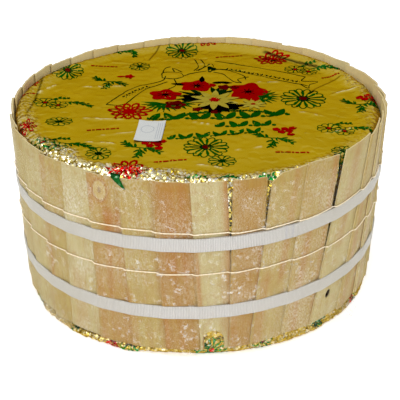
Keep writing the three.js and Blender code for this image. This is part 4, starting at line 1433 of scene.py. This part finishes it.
# %% Paper
# Coated paper: smooth, a little glossy and slightly grey under soft light, with a faint grey print
label_paper, tree = new_material("white_coated_paper")
spot = add_node(tree, "Attribute", {"attribute_name": "spot"}).outputs["Vector"]
oval_place = add_node(tree, "VectorMath", {"operation": "MULTIPLY_ADD"}, _0=spot, _1=(1 / 5.2, 1 / 6.8, 0),
                      _2=(0.45, -0.45, 0))
oval_reach = add_node(tree, "VectorMath", {"operation": "LENGTH"}, _0=oval_place)
past_oval = add_node(tree, "Math", {"operation": "SUBTRACT"}, _0=oval_reach, _1=1.0)
from_oval = add_node(tree, "Math", {"operation": "ABSOLUTE"}, _0=past_oval)
oval = add_node(tree, "Math", {"operation": "LESS_THAN"}, _0=from_oval, _1=0.07)
split = add_node(tree, "SeparateXYZ", Vector=spot)
phase = add_node(tree, "Math", {"operation": "MULTIPLY"}, _0=split, _1=2 * math.pi / 1.7)
wave = add_node(tree, "Math", {"operation": "SINE"}, _0=phase)
bars = add_node(tree, "Math", {"operation": "GREATER_THAN"}, _0=wave, _1=0.4)
from_middle = add_node(tree, "Math", {"operation": "ABSOLUTE"}, _0=split.outputs["Y"])
beside = add_node(tree, "Math", {"operation": "GREATER_THAN"}, _0=split, _1=5.0)
within = add_node(tree, "Math", {"operation": "LESS_THAN"}, _0=from_middle, _1=16.0)
for limit in (beside, within):
    bars = add_node(tree, "Math", {"operation": "MULTIPLY"}, _0=bars, _1=limit)
marked = add_node(tree, "Math", {"operation": "MAXIMUM"}, _0=oval, _1=bars)
inked = add_node(tree, "Math", {"operation": "MULTIPLY"}, _0=marked, _1=0.5)
color = add_node(tree, "Mix", COLOR_MIX, _0=inked, _6=rgb("#BEC0BD"), _7=rgb("#7C8390"))
shader = add_node(tree, "BsdfPrincipled", Base_Color=color, Roughness=0.4)
add_node(tree, "OutputMaterial", Surface=shader)
print("paper ready")

# %% Label
LABEL_WIDTH, LABEL_LENGTH, LABEL_X, LABEL_Y, LABEL_TURN = 22.0, 40.0, -39.0, -60.0, math.radians(-4)
PAPER_THICKNESS = 0.15

v, u = np.meshgrid(np.linspace(-1, 1, 41), np.linspace(-1, 1, 25), indexing="ij")
across, along = u * LABEL_WIDTH / 2, v * LABEL_LENGTH / 2
label_x = LABEL_X + across * math.cos(LABEL_TURN) - along * math.sin(LABEL_TURN)
label_y = LABEL_Y + across * math.sin(LABEL_TURN) + along * math.cos(LABEL_TURN)
lying = np.maximum(top_relief(label_x, label_y), 0) + 0.45
curl = 0.9 * np.clip((abs(u) + abs(v) - 1.25) / 0.75, 0, 1) ** 2
waviness = 0.25 * lattice_noise(label_x, label_y, 12, 61)
outer = np.stack([label_x, label_y, WHEEL_TOP + lying + curl + waviness + 0.18], -1)
points, faces = sheet_solid(outer, outer - np.array([0, 0, PAPER_THICKNESS]))
label = add_piece("label_slip", points, faces, label_paper, ["paper_label"], crease=50)
spots = np.stack([across, along, 0 * u], -1).reshape(-1, 3)
add_attribute(label, "spot", np.tile(spots, (2, 1)))
print("label faces", len(faces))

# %% [markdown]
# ## Clear film
#
# The film is thin clear wrapping, stretched round the belt. It can't be seen where it lies flat. It
# shows only where it wrinkles, as short white glints, and where its hem hangs loose. Glass with
# refraction would darken the boards and render slowly, and a film this thin doesn't bend light. So it
# is white, nearly transparent everywhere, and more solid at the glints and the hem.

# %% Film plastic
# Clear packing film: invisible but for small sharp glints, which come in patches
film_plastic, tree = new_material("clear_wrapping_film")
place = add_node(tree, "TexCoord").outputs["Object"]
wrinkle, loose = [add_node(tree, "Attribute", {"attribute_name": label}).outputs["Fac"]
                  for label in ("wrinkle", "loose")]
scatter = add_node(tree, "TexNoise", Vector=place, Scale=1 / (4.762 * MM), Detail=5.0, Roughness=0.75)
patch = add_node(tree, "TexNoise", Vector=place, Scale=1 / (23.81 * MM), Detail=2.0)
speck = add_node(tree, "MapRange", Value=scatter, From_Min=0.54, From_Max=0.64)
area = add_node(tree, "MapRange", Value=patch, From_Min=0.4, From_Max=0.6)
specks = add_node(tree, "Math", {"operation": "MULTIPLY"}, _0=speck, _1=area)
glint = add_node(tree, "Math", {"operation": "MULTIPLY"}, _0=specks, _1=wrinkle)
haze = add_node(tree, "Math", {"operation": "MULTIPLY_ADD"}, _0=wrinkle, _1=0.02, _2=0.004)
hem = add_node(tree, "Math", {"operation": "MULTIPLY_ADD"}, _0=loose, _1=0.16, _2=haze)
seen = add_node(tree, "Math", {"operation": "MULTIPLY_ADD", "use_clamp": True}, _0=glint, _1=0.55, _2=hem)
shader = add_node(tree, "BsdfPrincipled", Base_Color=rgb("#FBFAF6"), Roughness=0.25, Alpha=seen)
add_node(tree, "OutputMaterial", Surface=shader)
print("film plastic ready")

# %% Sleeve of film
FILM_FOOT, FILM_TOP, FILM_THICKNESS = 5.2, 152.7, 0.12
BELT_RISE = 4.4  # how much higher the belt and the film's upper edge stand on the right
# Loose places of the hem: degrees from the front, spread in degrees, and how far they stand out
FLAPS = [(-55, 7, 7.0), (-44, 4, 3.0), (52, 6, 5.0), (130, 8, 5.0), (-150, 9, 5.0)]

angle = np.linspace(-math.pi, math.pi, 720, endpoint=False)
share = np.linspace(0, 1, 60)[:, None]
z = FILM_FOOT + (FILM_TOP - FILM_FOOT) * share + BELT_RISE * np.sin(angle) * share
radius = WIDEST_SLATS - TAPER_SLOPE * (WHEEL_TOP - z) + 2.15
radius = radius + 0.25 * (lattice_noise(BELT_RADIUS * angle + 600, z, 8, 71) - 0.5)
flare = np.zeros(z.shape)
for degrees, spread, reach in FLAPS:
    hump = np.exp(-((angle - math.radians(degrees)) / math.radians(spread)) ** 2)
    flare = flare + reach * hump * smooth_step(0.13, 0.0, share)
radius, z = radius + flare, z - 0.35 * flare
points, faces = sheet_solid(around(angle, radius + FILM_THICKNESS, z), around(angle, radius, z), wraps=True)
film = add_piece("film_sleeve", points, faces, film_plastic, ["clear_film"])
print("film faces", len(faces))

# %% Wrinkles of the film
# The wrinkle number is how much painted glint the film shows: most facing the front, where the lamps
# mirror, clear of the straps and about 55 mm up.
facing_front = 0.25 + 0.75 * np.exp(-(angle / 0.75) ** 2)
clear_of_straps = np.ones(z.shape)
for height in (UPPER_STRAP_HEIGHT, LOWER_STRAP_HEIGHT):
    clear_of_straps *= smooth_step(5.5, 8.0, abs(z - height - STRAP_RISE * np.sin(angle)))
lower_half = 0.45 + 0.55 * np.exp(-((z - 55) / 45) ** 2)
wrinkle = np.clip(facing_front * clear_of_straps * lower_half + 0.3 * flare, 0, 1)
hole_angle = corners[slat_names[BORED - 1]][0, 0] + HOLE_ACROSS / 157
from_hole = np.hypot((angle - hole_angle) * BELT_RADIUS, z - 35)
wrinkle = (wrinkle * smooth_step(4, 12, from_hole)).ravel()
add_attribute(film, "wrinkle", np.concatenate([wrinkle, 0 * wrinkle]))
add_attribute(film, "loose", np.tile(np.clip(flare / 5 - 0.2, 0, 1).ravel(), 2))
print("mean wrinkle:", round(float(wrinkle.mean()), 2))

# %% [markdown]
# ## The cheese itself
#
# The cheese is a drum with a damp, pale rind. The wrapper hides it, so the measured shape is used as
# it is and only gets a finish: cream with brownish and blue-grey patches, where the mould shows.

# %% Rind
# Washed rind: damp and soft, so it is half matt, with mould patches that stand up a little
rind, tree = new_material("blue_cheese_rind")
place = add_node(tree, "TexCoord").outputs["Object"]
mould = add_node(tree, "TexNoise", Vector=place, Scale=1 / (16.7 * MM), Detail=6.0, Roughness=0.7)
mould_stops = [(0.35, "#E8DDB8"), (0.55, "#D9C596"), (0.68, "#8E9483")]
color = add_node(tree, "ValToRGB", {"stops": mould_stops}, Fac=mould)
bump = add_node(tree, "Bump", Strength=0.5, Distance=1.0 * MM, Height=mould)
shader = add_node(tree, "BsdfPrincipled", Base_Color=color, Roughness=0.55, Normal=bump)
add_node(tree, "OutputMaterial", Surface=shader)
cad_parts["cheese_wheel"].data.materials.clear()
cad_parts["cheese_wheel"].data.materials.append(rind)
print("rind on the cheese")
